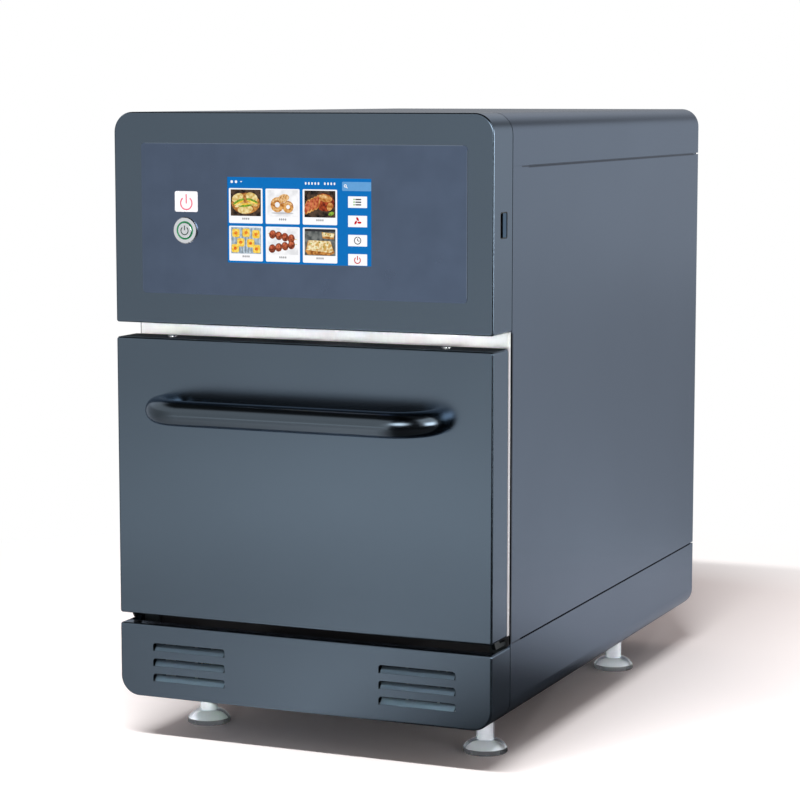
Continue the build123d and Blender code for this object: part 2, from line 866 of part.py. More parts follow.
# Door pan: the painted outer door, folded back at all four sides, slotted below for the hinge arms
with BuildPart() as door_pan:
    with BuildSketch(facing_front(y_door_back)):
        with Locations((0, z_door_middle)):
            RectangleRounded(body_width, door_height, fold_corner)
    extrude(amount=door_depth)
    fillet(door_pan.faces().sort_by(Axis.Y)[0].edges(), bend_radius)
    with BuildSketch(facing_front(y_door_back)):
        with Locations((0, z_door_middle)):
            Rectangle(body_width - 2 * sheet, door_height - 2 * sheet)
    extrude(amount=door_depth - sheet, mode=Mode.SUBTRACT)
    with BuildSketch(Plane.XY.offset(z_door_bottom - overrun)):
        for side in (-1, 1):
            with Locations((side * x_hinge_arm, y_front + sheet)):
                Rectangle(
                    hinge_arm_thickness + 2 * hinge_slot_gap,
                    hinge_setback - sheet + hinge_arm_bend + hinge_eye_radius,
                    align=(Align.CENTER, Align.MIN),
                )
    extrude(amount=sheet + 2 * overrun, mode=Mode.SUBTRACT)
    with BuildSketch(facing_front(y_front + sheet + overrun)):
        for side in (-1, 1):
            with Locations((side * handle_x, z_door_top - handle_drop)):
                Circle(bolt_radius + seat_gap)
    extrude(amount=sheet + 2 * overrun, mode=Mode.SUBTRACT)
    with BuildSketch(Plane.XY.offset(z_door_top - sheet - overrun)):
        for side in (-1, 1):
            with Locations((side * top_screw_x, y_front + top_screw_setback)):
                Circle(screw_shank_radius + seat_gap)
    extrude(amount=sheet + 2 * overrun, mode=Mode.SUBTRACT)
write("door_pan", door_pan)

# Door hinge blocks: bored blocks in the bottom corners of the door, which turn on the pins
with BuildPart() as door_hinge_blocks:
    for side in (-1, 1):
        with BuildSketch(Plane.YZ.offset(side * (x_hinge_inner - seat_gap))):
            with Locations((y_front + sheet, z_door_bottom + sheet)):
                Rectangle(hinge_block_depth, hinge_block_height, align=(Align.MIN, Align.MIN))
            with Locations((y_hinge, z_hinge)):
                Circle(hinge_pin_radius + running_gap, mode=Mode.SUBTRACT)
        extrude(amount=-side * hinge_block_width)
write("door_hinge_blocks", door_hinge_blocks)

# Door inner panel: stainless, with a raised middle that plugs the chamber's mouth
plug_width = chamber_width - 2 * plug_gap
plug_height = chamber_height - 2 * plug_gap
plug_reach = front_depth - door_depth + sheet + plug_depth
with BuildPart() as door_inner_panel:
    with BuildSketch(facing_front(y_door_back)):
        with Locations((0, z_door_middle)):
            Rectangle(body_width - 2 * (sheet + seat_gap), door_height - 2 * (sheet + seat_gap))
        for side in (-1, 1):
            with Locations((side * x_hinge_arm, z_door_bottom)):
                Rectangle(
                    hinge_arm_thickness + 2 * hinge_slot_gap, 2 * hinge_block_height, mode=Mode.SUBTRACT
                )
    extrude(amount=inner_sheet)
    with BuildSketch(facing_front(y_door_back)):
        with Locations((0, z_chamber_middle)):
            RectangleRounded(plug_width, plug_height, corner_radius / 2)
    extrude(amount=-plug_reach)
    fillet(door_inner_panel.faces().sort_by(Axis.Y)[-1].edges(), bend_radius)
    with BuildSketch(facing_front(y_door_back - inner_sheet)):
        with Locations((0, z_chamber_middle)):
            RectangleRounded(
                plug_width - 2 * inner_sheet, plug_height - 2 * inner_sheet, corner_radius / 2 - inner_sheet
            )
    extrude(amount=-plug_reach, mode=Mode.SUBTRACT)
write("door_inner_panel", door_inner_panel)

# Door insulation: a mineral-wool slab between the pan and the inner panel
insulation_margin = hinge_block_width + hinge_arm_inset + hinge_arm_thickness + sheet
with BuildPart() as door_insulation:
    with BuildSketch(facing_front(y_door_back - inner_sheet - seat_gap)):
        with Locations((0, z_door_middle)):
            Rectangle(body_width - 2 * insulation_margin, door_height - 2 * (sheet + seat_gap))
    extrude(amount=door_depth - sheet - inner_sheet - 2 * seat_gap)
    with BuildSketch(facing_front(y_front + sheet + bolt_head_height + 2 * seat_gap)):
        for side in (-1, 1):
            with Locations((side * handle_x, z_door_top - handle_drop)):
                Circle(bolt_head_radius + seat_gap)
    extrude(amount=bolt_head_height + overrun, mode=Mode.SUBTRACT)
    with BuildSketch(Plane.XY.offset(z_door_top)):
        for side in (-1, 1):
            with Locations((side * top_screw_x, y_front + top_screw_setback)):
                Circle(screw_shank_radius + seat_gap)
    extrude(amount=-bolt_length, mode=Mode.SUBTRACT)
write("door_insulation", door_insulation)

# Door gasket: a silicone frame round the plug, which meets the front plate
gap_depth = front_depth - door_depth
gasket_outer = gasket_gap + gasket_width
with BuildPart() as door_gasket:
    with BuildSketch(facing_front(y_plate - seat_gap)):
        with Locations((0, z_chamber_middle)):
            RectangleRounded(
                chamber_width + 2 * gasket_outer, chamber_height + 2 * gasket_outer, gasket_corner
            )
            RectangleRounded(
                chamber_width + 2 * gasket_gap,
                chamber_height + 2 * gasket_gap,
                gasket_corner - gasket_width,
                mode=Mode.SUBTRACT,
            )
    extrude(amount=gap_depth - seat_gap)
write("door_gasket", door_gasket)

# Door choke: a channel frame outside the gasket, which keeps the microwaves in
choke_inner = gasket_outer + choke_gap
choke_outer = choke_inner + choke_width
with BuildPart() as door_choke:
    with BuildSketch(facing_front(y_door_back + choke_height)):
        with Locations((0, z_chamber_middle)):
            Rectangle(chamber_width + 2 * choke_outer, chamber_height + 2 * choke_outer)
            Rectangle(chamber_width + 2 * choke_inner, chamber_height + 2 * choke_inner, mode=Mode.SUBTRACT)
    extrude(amount=choke_height)
    with BuildSketch(facing_front(y_door_back + choke_height)):
        with Locations((0, z_chamber_middle)):
            Rectangle(
                chamber_width + 2 * (choke_outer - choke_wall),
                chamber_height + 2 * (choke_outer - choke_wall),
            )
            Rectangle(
                chamber_width + 2 * (choke_inner + choke_wall),
                chamber_height + 2 * (choke_inner + choke_wall),
                mode=Mode.SUBTRACT,
            )
    extrude(amount=choke_height - choke_wall, mode=Mode.SUBTRACT)
write("door_choke", door_choke)

# Door handle: one bent tube, its two ends square to the door
z_handle = z_door_top - handle_drop
with BuildPart() as door_handle:
    with BuildLine():
        FilletPolyline(
            (-handle_x, y_front, z_handle),
            (-handle_x, y_front - handle_reach, z_handle),
            (handle_x, y_front - handle_reach, z_handle),
            (handle_x, y_front, z_handle),
            radius=handle_bend,
        )
    with BuildSketch(Plane(origin=(-handle_x, y_front, z_handle), z_dir=(0, -1, 0))):
        Circle(handle_diameter / 2)
    sweep()
    with BuildSketch(facing_front(y_front)):
        for side in (-1, 1):
            with Locations((side * handle_x, z_handle)):
                Circle(bolt_radius + seat_gap)
    extrude(amount=bolt_length, mode=Mode.SUBTRACT)
write("door_handle", door_handle)

# Handle bolts: from inside the door into the handle's ends
with BuildPart() as handle_bolts:
    for side in (-1, 1):
        with BuildSketch(facing_front(y_front + sheet + bolt_head_height)):
            with Locations((side * handle_x, z_handle)):
                RegularPolygon(bolt_head_radius, hex_sides)
        extrude(amount=bolt_head_height)
        with BuildSketch(facing_front(y_front + sheet)):
            with Locations((side * handle_x, z_handle)):
                Circle(bolt_radius)
        extrude(amount=bolt_length)
write("handle_bolts", handle_bolts)

# Door top screws: domed heads on the door's top face
with BuildPart() as door_top_screws:
    for side in (-1, 1):
        with BuildSketch(Plane.XY.offset(z_door_top)):
            with Locations((side * top_screw_x, y_front + top_screw_setback)):
                Circle(screw_head_radius)
        extrude(amount=screw_head_height)
    fillet(door_top_screws.edges().group_by(Axis.Z)[-1], screw_head_height / 2)
    for side in (-1, 1):
        with BuildSketch(Plane.XY.offset(z_door_top)):
            with Locations((side * top_screw_x, y_front + top_screw_setback)):
                Circle(screw_shank_radius)
        extrude(amount=-(bolt_length - overrun))
write("door_top_screws", door_top_screws)

# Door latch hooks: flat hooks behind the door that reach through the front plate to the interlock switches
with BuildPart() as door_latch_hooks:
    for side in (-1, 1):
        with BuildSketch(Plane.YZ.offset(side * hook_x)):
            with Locations((y_door_back, z_hook)):
                Rectangle(gap_depth + sheet + hook_reach, hook_height, align=(Align.MIN, Align.CENTER))
            with Locations((y_shell + hook_neck, z_hook - hook_height / 2)):
                Rectangle(hook_notch, hook_height, mode=Mode.SUBTRACT)
        extrude(amount=hook_thickness / 2, both=True)
write("door_latch_hooks", door_latch_hooks)

# Interlock switches: a microswitch behind each hook slot, on its own angle bracket
x_switch = hook_x
y_switch = y_shell + hook_reach + overrun
z_switch = z_hook - hook_height / 2
with BuildPart() as interlock_switches:
    for side in (-1, 1):
        with BuildSketch(Plane.YZ.offset(side * x_switch)):
            with Locations((y_switch, z_switch)):
                Rectangle(switch_body_depth, switch_body_height, align=(Align.MIN, Align.MIN))
        extrude(amount=switch_body_width / 2, both=True)
        with BuildSketch(Plane.YZ.offset(side * x_switch)):
            with Locations((y_shell, z_switch - hook_slot_gap)):
                Rectangle(
                    y_switch - y_shell + switch_body_depth, sheet, align=(Align.MIN, Align.MAX)
                )
            with Locations((y_shell, z_switch - hook_slot_gap)):
                Rectangle(sheet, switch_body_height, align=(Align.MIN, Align.MAX))
            with Locations((y_switch, z_switch - hook_slot_gap)):
                Rectangle(switch_body_depth, hook_slot_gap, align=(Align.MIN, Align.MIN))
        extrude(amount=hook_thickness, both=True)
write("interlock_switches", interlock_switches)

# Cavity liner: the stainless chamber, open in front, flanged to the plate, with guide and pipe holes on top
guide_x = chamber_width / 2 - guide_inset
y_guide_drop = y_shell + guide_setback + guide_length - guide_drop_length / 2
y_pipe = y_baffle + blower_chamber_depth / 2
guide_places = [(side * guide_x, y_guide_drop) for side in (-1, 1)]
heater_lead_places = [
    (side * heater_lead_spread / 2, z_chamber_middle + heater_radius) for side in (-1, 1)
]
with BuildPart() as cavity_liner:
    with BuildSketch(facing_front(y_liner_back + liner_sheet)):
        with Locations((0, z_chamber_middle)):
            Rectangle(chamber_width + 2 * liner_sheet, liner_height + 2 * liner_sheet)
    extrude(amount=liner_depth + liner_sheet)
    with BuildSketch(facing_front(y_shell + liner_sheet)):
        with Locations((0, z_chamber_middle)):
            Rectangle(chamber_width + 2 * liner_flange, liner_height + 2 * liner_flange)
    extrude(amount=liner_sheet)
    with BuildSketch(facing_front(y_liner_back)):
        with Locations((0, z_chamber_middle)):
            Rectangle(chamber_width, liner_height)
    extrude(amount=liner_depth, mode=Mode.SUBTRACT)
    with BuildSketch(facing_front(y_liner_back + overrun)):
        with Locations((0, z_chamber_middle)):
            Circle(shaft_hole_radius)
        with Locations(*heater_lead_places):
            Circle(heater_tube_radius + seat_gap)
    extrude(amount=2 * overrun, mode=Mode.SUBTRACT)
    with BuildSketch(Plane.XY.offset(z_chamber_middle + liner_height / 2 - overrun)):
        with Locations(*guide_places):
            Rectangle(guide_width - 2 * guide_wall, guide_drop_length - 2 * guide_wall)
        with Locations((0, y_pipe)):
            Circle(pipe_radius - pipe_wall)
    extrude(amount=liner_sheet + 2 * overrun, mode=Mode.SUBTRACT)
write("cavity_liner", cavity_liner)

# Cavity insulation: mineral wool round the liner, with ways through for the shaft, heater, guides and pipe
with BuildPart() as cavity_insulation:
    with BuildSketch(facing_front(y_insulation_back)):
        with Locations((0, z_chamber_middle)):
            Rectangle(insulation_width, insulation_height)
    extrude(amount=y_insulation_back - y_shell - liner_sheet)
    with BuildSketch(facing_front(y_liner_back + liner_sheet)):
        with Locations((0, z_chamber_middle)):
            Rectangle(chamber_width + 2 * liner_sheet, liner_height + 2 * liner_sheet)
    extrude(amount=liner_depth + overrun, mode=Mode.SUBTRACT)
    with BuildSketch(facing_front(y_insulation_back + overrun)):
        with Locations((0, z_chamber_middle)):
            Circle(shaft_hole_radius)
        with Locations(*heater_lead_places):
            Circle(heater_tube_radius + seat_gap)
    extrude(amount=insulation + 2 * overrun, mode=Mode.SUBTRACT)
    with BuildSketch(Plane.XY.offset(z_insulation_top + overrun)):
        with Locations(*guide_places):
            Rectangle(guide_width + 2 * seat_gap, guide_drop_length + 2 * seat_gap)
        with Locations((0, y_pipe)):
            Circle(pipe_radius + seat_gap)
    extrude(amount=-(insulation + 2 * overrun), mode=Mode.SUBTRACT)
write("cavity_insulation", cavity_insulation)


# Jet plates: perforated, above and below the chamber, a hair inside the liner's walls
jet_plate_width = chamber_width - 2 * seat_gap
jet_plate_depth = chamber_depth - seat_gap
with BuildPart() as jet_plates:
    for low in (z_chamber - liner_sheet, z_chamber + chamber_height):
        with BuildSketch(Plane.XY.offset(low)):
            with Locations((0, y_shell + jet_plate_depth / 2)):
                Rectangle(jet_plate_width, jet_plate_depth)
                with GridLocations(
                    (jet_plate_width - 2 * jet_margin) / (jet_columns - 1),
                    (jet_plate_depth - 2 * jet_margin) / (jet_rows - 1),
                    jet_columns,
                    jet_rows,
                ):
                    Circle(jet_radius, mode=Mode.SUBTRACT)
        extrude(amount=liner_sheet)
write("jet_plates", jet_plates)

# Rack runners: a folded ledge on each side wall of the chamber
z_runner = z_chamber + runner_rise
y_rack = y_shell + plug_depth + 2 * rack_margin
y_rack_end = y_baffle - catalyst_depth - rack_margin
runner_length = y_baffle - rack_margin - y_rack
with BuildPart() as rack_runners:
    for side in (-1, 1):
        edge = side * chamber_width / 2
        with BuildSketch(facing_front(y_rack + runner_length)):
            with Locations((edge - side * runner_width / 2, z_runner - liner_sheet / 2)):
                Rectangle(runner_width, liner_sheet)
            with Locations((edge - side * liner_sheet / 2, z_runner - runner_width / 2)):
                Rectangle(liner_sheet, runner_width)
        extrude(amount=runner_length)
write("rack_runners", rack_runners)

# Wire rack: two side wires on the ledges, joined by cross bars
rack_width = chamber_width - 2 * rack_margin
rack_depth = y_rack_end - y_rack
bar_pitch = (rack_depth - 2 * rack_wire) / (rack_bars - 1)
z_rack = z_runner + seat_gap + rack_wire / 2
with BuildPart() as wire_rack:
    with BuildSketch(facing_front(y_rack_end)):
        with Locations((-rack_width / 2 + rack_wire / 2, z_rack), (rack_width / 2 - rack_wire / 2, z_rack)):
            Circle(rack_wire / 2)
    extrude(amount=rack_depth)
    with BuildSketch(Plane.YZ.offset(-rack_width / 2 + rack_wire / 2)):
        for bar in range(rack_bars):
            with Locations((y_rack + rack_wire + bar * bar_pitch, z_rack)):
                Circle(rack_wire / 2)
    extrude(amount=rack_width - rack_wire)
write("wire_rack", wire_rack)

# Blower baffle: the chamber's rear wall, with the intake hole in front of the blower
with BuildPart() as blower_baffle:
    with BuildSketch(facing_front(y_baffle + liner_sheet)):
        with Locations((0, z_chamber_middle)):
            Rectangle(chamber_width - 2 * seat_gap, chamber_height + 2 * liner_sheet)
            Circle(intake_radius, mode=Mode.SUBTRACT)
    extrude(amount=liner_sheet)
write("blower_baffle", blower_baffle)

# Catalyst block: a square honeycomb on the baffle, over the intake
cell_pitch = (catalyst_size - catalyst_wall) / catalyst_cells
with BuildPart() as catalyst_block:
    with BuildSketch(facing_front(y_baffle)):
        with Locations((0, z_chamber_middle)):
            Rectangle(catalyst_size, catalyst_size)
            with GridLocations(cell_pitch, cell_pitch, catalyst_cells, catalyst_cells):
                Rectangle(cell_pitch - catalyst_wall, cell_pitch - catalyst_wall, mode=Mode.SUBTRACT)
    extrude(amount=catalyst_depth)
write("catalyst_block", catalyst_block)

# Blower impeller: a radial fan wheel with swept blades between a back plate and an eye ring, on its shaft
y_impeller = y_baffle + liner_sheet + (blower_chamber_depth - liner_sheet - impeller_depth) / 2
y_impeller_back = y_impeller + impeller_depth
y_motor = y_insulation_back + upright_thickness
blade_angle = full_turn / impeller_blades
with BuildPart() as blower_impeller:
    with BuildSketch(facing_front(y_impeller_back)):
        with Locations((0, z_chamber_middle)):
            Circle(impeller_radius)
    extrude(amount=impeller_plate)
    with BuildSketch(facing_front(y_impeller_back)):
        with Locations((0, z_chamber_middle)):
            Circle(impeller_hub_radius)
    extrude(amount=impeller_depth - impeller_plate)
    with BuildSketch(facing_front(y_impeller + impeller_plate)):
        with Locations((0, z_chamber_middle)):
            Circle(impeller_radius)
            Circle(impeller_eye_radius, mode=Mode.SUBTRACT)
    extrude(amount=impeller_plate)
    with BuildSketch(facing_front(y_impeller_back)):
        for blade in range(impeller_blades):
            turn = math.radians(blade * blade_angle)
            sweep_turn = turn + math.radians(blade_angle)
            inner = impeller_eye_radius
            middle = (impeller_eye_radius + impeller_radius) / 2
            outer = impeller_radius - impeller_plate
            bow = turn + math.radians(blade_angle) * blade_bow_share
            with BuildLine():
                blade_arc = ThreePointArc(
                    (inner * math.cos(turn), z_chamber_middle + inner * math.sin(turn)),
                    (middle * math.cos(bow), z_chamber_middle + middle * math.sin(bow)),
                    (outer * math.cos(sweep_turn), z_chamber_middle + outer * math.sin(sweep_turn)),
                )
                offset(blade_arc, amount=impeller_plate / 2, side=Side.BOTH)
            make_face()
    extrude(amount=impeller_depth)
    with BuildSketch(facing_front(y_motor + shaft_seat)):
        with Locations((0, z_chamber_middle)):
            Circle(shaft_radius)
    extrude(amount=y_motor + shaft_seat - y_impeller_back + impeller_plate)
write("blower_impeller", blower_impeller)

# Heater element: two tube rings round the blower, each with a lead that goes out through the rear wall
with BuildPart() as heater_element:
    for ring in (-1, 1):
        ring_y = (y_impeller + y_impeller_back) / 2 + ring * heater_pitch / 2
        with BuildSketch(Plane.YZ.offset(0)):
            with Locations((ring_y, z_chamber_middle + heater_radius)):
                Circle(heater_tube_radius)
        revolve(axis=Axis((0, ring_y, z_chamber_middle), (0, 1, 0)))
        with BuildSketch(facing_front(y_liner_back + heater_lead_length)):
            with Locations((ring * heater_lead_spread / 2, z_chamber_middle + heater_radius)):
                Circle(heater_tube_radius)
        extrude(amount=y_liner_back + heater_lead_length - ring_y)
write("heater_element", heater_element)

# Blower motor: flanged, ribbed round the can, with the bore that the shaft runs in
motor_axis = Plane(origin=(0, y_motor, z_chamber_middle), x_dir=(1, 0, 0), z_dir=(0, 1, 0))
with BuildPart() as blower_motor:
    with BuildSketch(motor_axis):
        RectangleRounded(motor_flange_size, motor_flange_size, corner_radius / 2)
    extrude(amount=motor_flange_thickness)
    with BuildSketch(motor_axis.offset(motor_flange_thickness)):
        Circle(motor_radius)
        with PolarLocations(motor_radius, motor_ribs):
            Rectangle(2 * motor_rib, motor_rib)
    extrude(amount=motor_length)
    with BuildSketch(motor_axis.offset(motor_flange_thickness + motor_length)):
        Circle(motor_cap_radius)
    extrude(amount=motor_cap_length)
    fillet(blower_motor.faces().sort_by(Axis.Y)[-1].edges(), motor_cap_length / 2)
    with BuildSketch(motor_axis):
        Circle(shaft_radius + running_gap)
    extrude(amount=shaft_seat + overrun, mode=Mode.SUBTRACT)
write("blower_motor", blower_motor)

# Cavity cradle: a hat-section stand on the tray, with an upright behind that carries the blower motor
cradle_width = chamber_width - 2 * cradle_inset
cradle_half = cradle_width / 2
cradle_height = z_insulation_bottom - z_floor
cradle_length = y_insulation_back - y_shell - flange_width - sheet - seat_gap
upright_height = z_chamber_middle + upright_width / 2 - z_floor
with BuildPart() as cavity_cradle:
    with BuildSketch(facing_front(y_insulation_back)):
        with Locations((0, z_insulation_bottom)):
            Rectangle(cradle_width, sheet, align=(Align.CENTER, Align.MAX))
        for side in (-1, 1):
            with Locations((side * (cradle_half - sheet / 2), z_floor)):
                Rectangle(sheet, cradle_height, align=(Align.CENTER, Align.MIN))
            with Locations((side * (cradle_half - cradle_foot / 2), z_floor)):
                Rectangle(cradle_foot, sheet, align=(Align.CENTER, Align.MIN))
    extrude(amount=cradle_length)
    with BuildSketch(facing_front(y_motor)):
        with Locations((0, z_floor)):
            Rectangle(upright_width, upright_height, align=(Align.CENTER, Align.MIN))
            Rectangle(cradle_width, cradle_height, align=(Align.CENTER, Align.MIN))
        with Locations((0, z_chamber_middle)):
            Circle(shaft_hole_radius, mode=Mode.SUBTRACT)
        with Locations(*heater_lead_places):
            Circle(heater_tube_radius + seat_gap, mode=Mode.SUBTRACT)
    extrude(amount=upright_thickness)
write("cavity_cradle", cavity_cradle)

# Component shelf: a tray over the chamber, from side to side, for the guides, magnetrons and boards
shelf_width = body_width - 2 * (sheet + seat_gap)
shelf_front = y_shell + sheet + seat_gap
with BuildPart() as component_shelf:
    with BuildSketch(facing_front(y_rear_flange - seat_gap)):
        with Locations((0, z_insulation_top)):
            Rectangle(shelf_width, sheet, align=(Align.CENTER, Align.MIN))
        for side in (-1, 1):
            with Locations((side * (shelf_width - sheet) / 2, z_insulation_top)):
                Rectangle(sheet, shelf_upstand, align=(Align.CENTER, Align.MIN))
    extrude(amount=y_rear_flange - seat_gap - shelf_front)
    with BuildSketch(Plane.XY.offset(z_insulation_top - overrun)):
        with Locations(*guide_places):
            Rectangle(guide_width + 2 * seat_gap, guide_drop_length + 2 * seat_gap)
        with Locations((0, y_pipe)):
            Circle(pipe_radius + seat_gap)
    extrude(amount=sheet + 2 * overrun, mode=Mode.SUBTRACT)
write("component_shelf", component_shelf)

# Waveguides: two rectangular ducts on the shelf, each turning down into the chamber's roof
z_liner_top = z_chamber_middle + liner_height / 2 + liner_sheet
z_guide_top = z_shelf_top + guide_height
y_guide = y_shell + guide_setback
y_magnetron = y_guide + magnetron_depth / 2
with BuildPart() as waveguides:
    for side in (-1, 1):
        with BuildSketch(Plane.XY.offset(z_shelf_top)):
            with Locations((side * guide_x, y_guide)):
                Rectangle(guide_width, guide_length, align=(Align.CENTER, Align.MIN))
        extrude(amount=guide_height)
        with BuildSketch(Plane.XY.offset(z_liner_top)):
            with Locations((side * guide_x, y_guide_drop)):
                Rectangle(guide_width, guide_drop_length)
        extrude(amount=z_shelf_top - z_liner_top)
    for side in (-1, 1):
        with BuildSketch(Plane.XY.offset(z_shelf_top + guide_wall)):
            with Locations((side * guide_x, y_guide + guide_wall)):
                Rectangle(
                    guide_width - 2 * guide_wall,
                    guide_length - 2 * guide_wall,
                    align=(Align.CENTER, Align.MIN),
                )
        extrude(amount=guide_height - 2 * guide_wall, mode=Mode.SUBTRACT)
        with BuildSketch(Plane.XY.offset(z_liner_top)):
            with Locations((side * guide_x, y_guide_drop)):
                Rectangle(guide_width - 2 * guide_wall, guide_drop_length - 2 * guide_wall)
        extrude(amount=z_shelf_top + guide_wall - z_liner_top, mode=Mode.SUBTRACT)
        with BuildSketch(Plane.XY.offset(z_guide_top - guide_wall)):
            with Locations((side * guide_x, y_magnetron)):
                Circle(magnetron_antenna_radius + seat_gap)
        extrude(amount=guide_wall, mode=Mode.SUBTRACT)
write("waveguides", waveguides)


# Magnetrons: finned, each standing on its waveguide with its antenna inside
fin_pitch = magnetron_height / magnetron_fins
with BuildPart() as magnetrons:
    for side in (-1, 1):
        base = Plane(origin=(side * guide_x, y_magnetron, z_guide_top))
        with BuildSketch(base):
            Rectangle(magnetron_width, magnetron_depth)
        extrude(amount=magnetron_plate)
        with BuildSketch(base):
            Circle(magnetron_core_radius)
        extrude(amount=magnetron_height)
        for fin in range(1, magnetron_fins):
            with BuildSketch(base.offset(fin * fin_pitch)):
                Rectangle(magnetron_width - 2 * magnetron_plate, magnetron_depth)
            extrude(amount=magnetron_fin)
        with BuildSketch(base):
            with GridLocations(magnetron_width - magnetron_plate, 0, 2, 1):
                Rectangle(magnetron_plate, magnetron_depth)
        extrude(amount=magnetron_height)
        with BuildSketch(base.offset(magnetron_height)):
            Rectangle(magnetron_width, magnetron_depth)
        extrude(amount=magnetron_plate)
        with BuildSketch(base.offset(magnetron_height + magnetron_plate)):
            RectangleRounded(magnetron_cap_width, magnetron_cap_depth, bend_radius)
        extrude(amount=magnetron_cap_height)
        with BuildSketch(base):
            Circle(magnetron_antenna_radius)
        extrude(amount=-magnetron_antenna_length)
    fillet(magnetrons.faces().group_by(Axis.Z)[0].edges(), bend_radius)
write("magnetrons", magnetrons)

# High-voltage transformers: a laminated core on the base tray, with its winding through the middle
z_winding = z_floor + (transformer_height - winding_height) / 2
with BuildPart() as hv_transformers:
    for side in (-1, 1):
        place = (side * transformer_spread / 2, y_rear - transformer_rear_gap)
        with BuildSketch(Plane.XY.offset(z_floor)):
            with Locations(place):
                Rectangle(transformer_width, transformer_depth)
        extrude(amount=transformer_height)
        with BuildSketch(Plane.XY.offset(z_winding)):
            with Locations(place):
                RectangleRounded(winding_width, winding_depth, winding_corner)
        extrude(amount=winding_height)
write("hv_transformers", hv_transformers)

# High-voltage capacitors: two oval cans on the base tray, with a tab each on top
with BuildPart() as hv_capacitors:
    for side in (-1, 1):
        place = (side * capacitor_spread / 2, y_rear - capacitor_rear_gap)
        with BuildSketch(Plane.XY.offset(z_floor)):
            with Locations(place):
                SlotOverall(capacitor_width, capacitor_depth)
        extrude(amount=capacitor_height)
        with BuildSketch(Plane.XY.offset(z_floor + capacitor_height)):
            with Locations(place):
                Rectangle(capacitor_tab, sheet)
        extrude(amount=2 * capacitor_tab)
write("hv_capacitors", hv_capacitors)

# Power board: on four standoffs on the shelf, with a finned heatsink and two cans
z_power_board = z_shelf_top + board_standoff
board_place = Vector(-power_board_shift, y_rear - power_board_rear_gap)
heatsink_place = board_place - Vector(heatsink_shift, 0)
can_place = board_place + Vector(can_shift, 0)
with BuildPart() as power_board:
    with BuildSketch(Plane.XY.offset(z_power_board)):
        with Locations(board_place):
            Rectangle(power_board_width, power_board_depth)
    extrude(amount=board_thickness)
    with BuildSketch(Plane.XY.offset(z_shelf_top)):
        with Locations(board_place):
            with GridLocations(power_board_width - board_margin, power_board_depth - board_margin, 2, 2):
                Circle(stud_radius)
    extrude(amount=board_standoff)
    with BuildSketch(Plane.XY.offset(z_power_board + board_thickness)):
        with Locations(heatsink_place):
            Rectangle(heatsink_width, heatsink_depth)
    extrude(amount=bend_radius)
    with BuildSketch(Plane.XY.offset(z_power_board + board_thickness)):
        with Locations(heatsink_place):
            with GridLocations(heatsink_width / heatsink_fins, 0, heatsink_fins, 1):
                Rectangle(sheet, heatsink_depth)
    extrude(amount=heatsink_height)
    with BuildSketch(Plane.XY.offset(z_power_board + board_thickness)):
        with Locations(can_place):
            with GridLocations(0, can_pitch, 1, 2):
                Circle(can_radius)
    extrude(amount=can_height)
write("power_board", power_board)

# Mains filter: a closed can on the shelf with mounting ears
filter_place = (filter_box_shift, y_rear - filter_box_rear_gap)
with BuildPart() as mains_filter:
    with BuildSketch(Plane.XY.offset(z_shelf_top)):
        with Locations(filter_place):
            Rectangle(filter_box_width + 2 * filter_box_ear, filter_box_depth / 2)
            with GridLocations(filter_box_width + filter_box_ear, 0, 2, 1):
                Circle(screw_shank_radius, mode=Mode.SUBTRACT)
    extrude(amount=sheet)
    with BuildSketch(Plane.XY.offset(z_shelf_top)):
        with Locations(filter_place):
            RectangleRounded(filter_box_width, filter_box_depth, bend_radius)
    extrude(amount=filter_box_height)
write("mains_filter", mains_filter)

# Terminal block: beside the gland on the base tray, one clamp screw to each way
block_place = (-gland_shift, y_rear - terminal_block_rear_gap)
with BuildPart() as terminal_block:
    with BuildSketch(Plane.XY.offset(z_floor)):
        with Locations(block_place):
            Rectangle(terminal_block_width, terminal_block_depth)
    extrude(amount=terminal_block_height)
    with BuildSketch(Plane.XY.offset(z_floor + terminal_block_height)):
        with Locations(block_place):
            with GridLocations(terminal_block_width / terminal_ways, 0, terminal_ways, 1):
                Circle(terminal_screw_radius)
    extrude(amount=-2 * terminal_screw_radius, mode=Mode.SUBTRACT)
write("terminal_block", terminal_block)

# Exhaust pipe: from the blower chamber's roof up past the shelf and back to the rear panel
y_pipe_end = y_panel + sheet
with BuildPart() as exhaust_pipe:
    with BuildLine():
        FilletPolyline(
            (0, y_pipe, z_liner_top), (0, y_pipe, z_pipe), (0, y_pipe_end, z_pipe), radius=pipe_bend
        )
    with BuildSketch(Plane(origin=(0, y_pipe, z_liner_top))):
        Circle(pipe_radius)
        Circle(pipe_radius - pipe_wall, mode=Mode.SUBTRACT)
    sweep()
write("exhaust_pipe", exhaust_pipe)

# Cooling fan frame: a square frame on the rear panel, with three arms that carry the rotor's pin
fan_axis = Plane(origin=(fan_shift, y_panel, z_fan), x_dir=(1, 0, 0), z_dir=(0, -1, 0))
pin_length = fan_depth - fan_arm_depth
with BuildPart() as cooling_fan_frame:
    with BuildSketch(fan_axis):
        RectangleRounded(fan_size, fan_size, bend_radius)
        Circle(fan_bore_radius, mode=Mode.SUBTRACT)
        with GridLocations(fan_hole_pitch, fan_hole_pitch, 2, 2):
            Circle(screw_shank_radius, mode=Mode.SUBTRACT)
    extrude(amount=fan_depth)
    with BuildSketch(fan_axis.offset(pin_length)):
        Circle(fan_hub_radius)
        with PolarLocations((fan_bore_radius + fan_hub_radius) / 2, fan_arms):
            Rectangle(fan_bore_radius - fan_hub_radius + fan_arm_width, fan_arm_width)
    extrude(amount=fan_arm_depth)
    with BuildSketch(fan_axis.offset(pin_length)):
        Circle(fan_pin_radius)
    extrude(amount=-fan_rotor_depth / 2)
write("cooling_fan_frame", cooling_fan_frame)

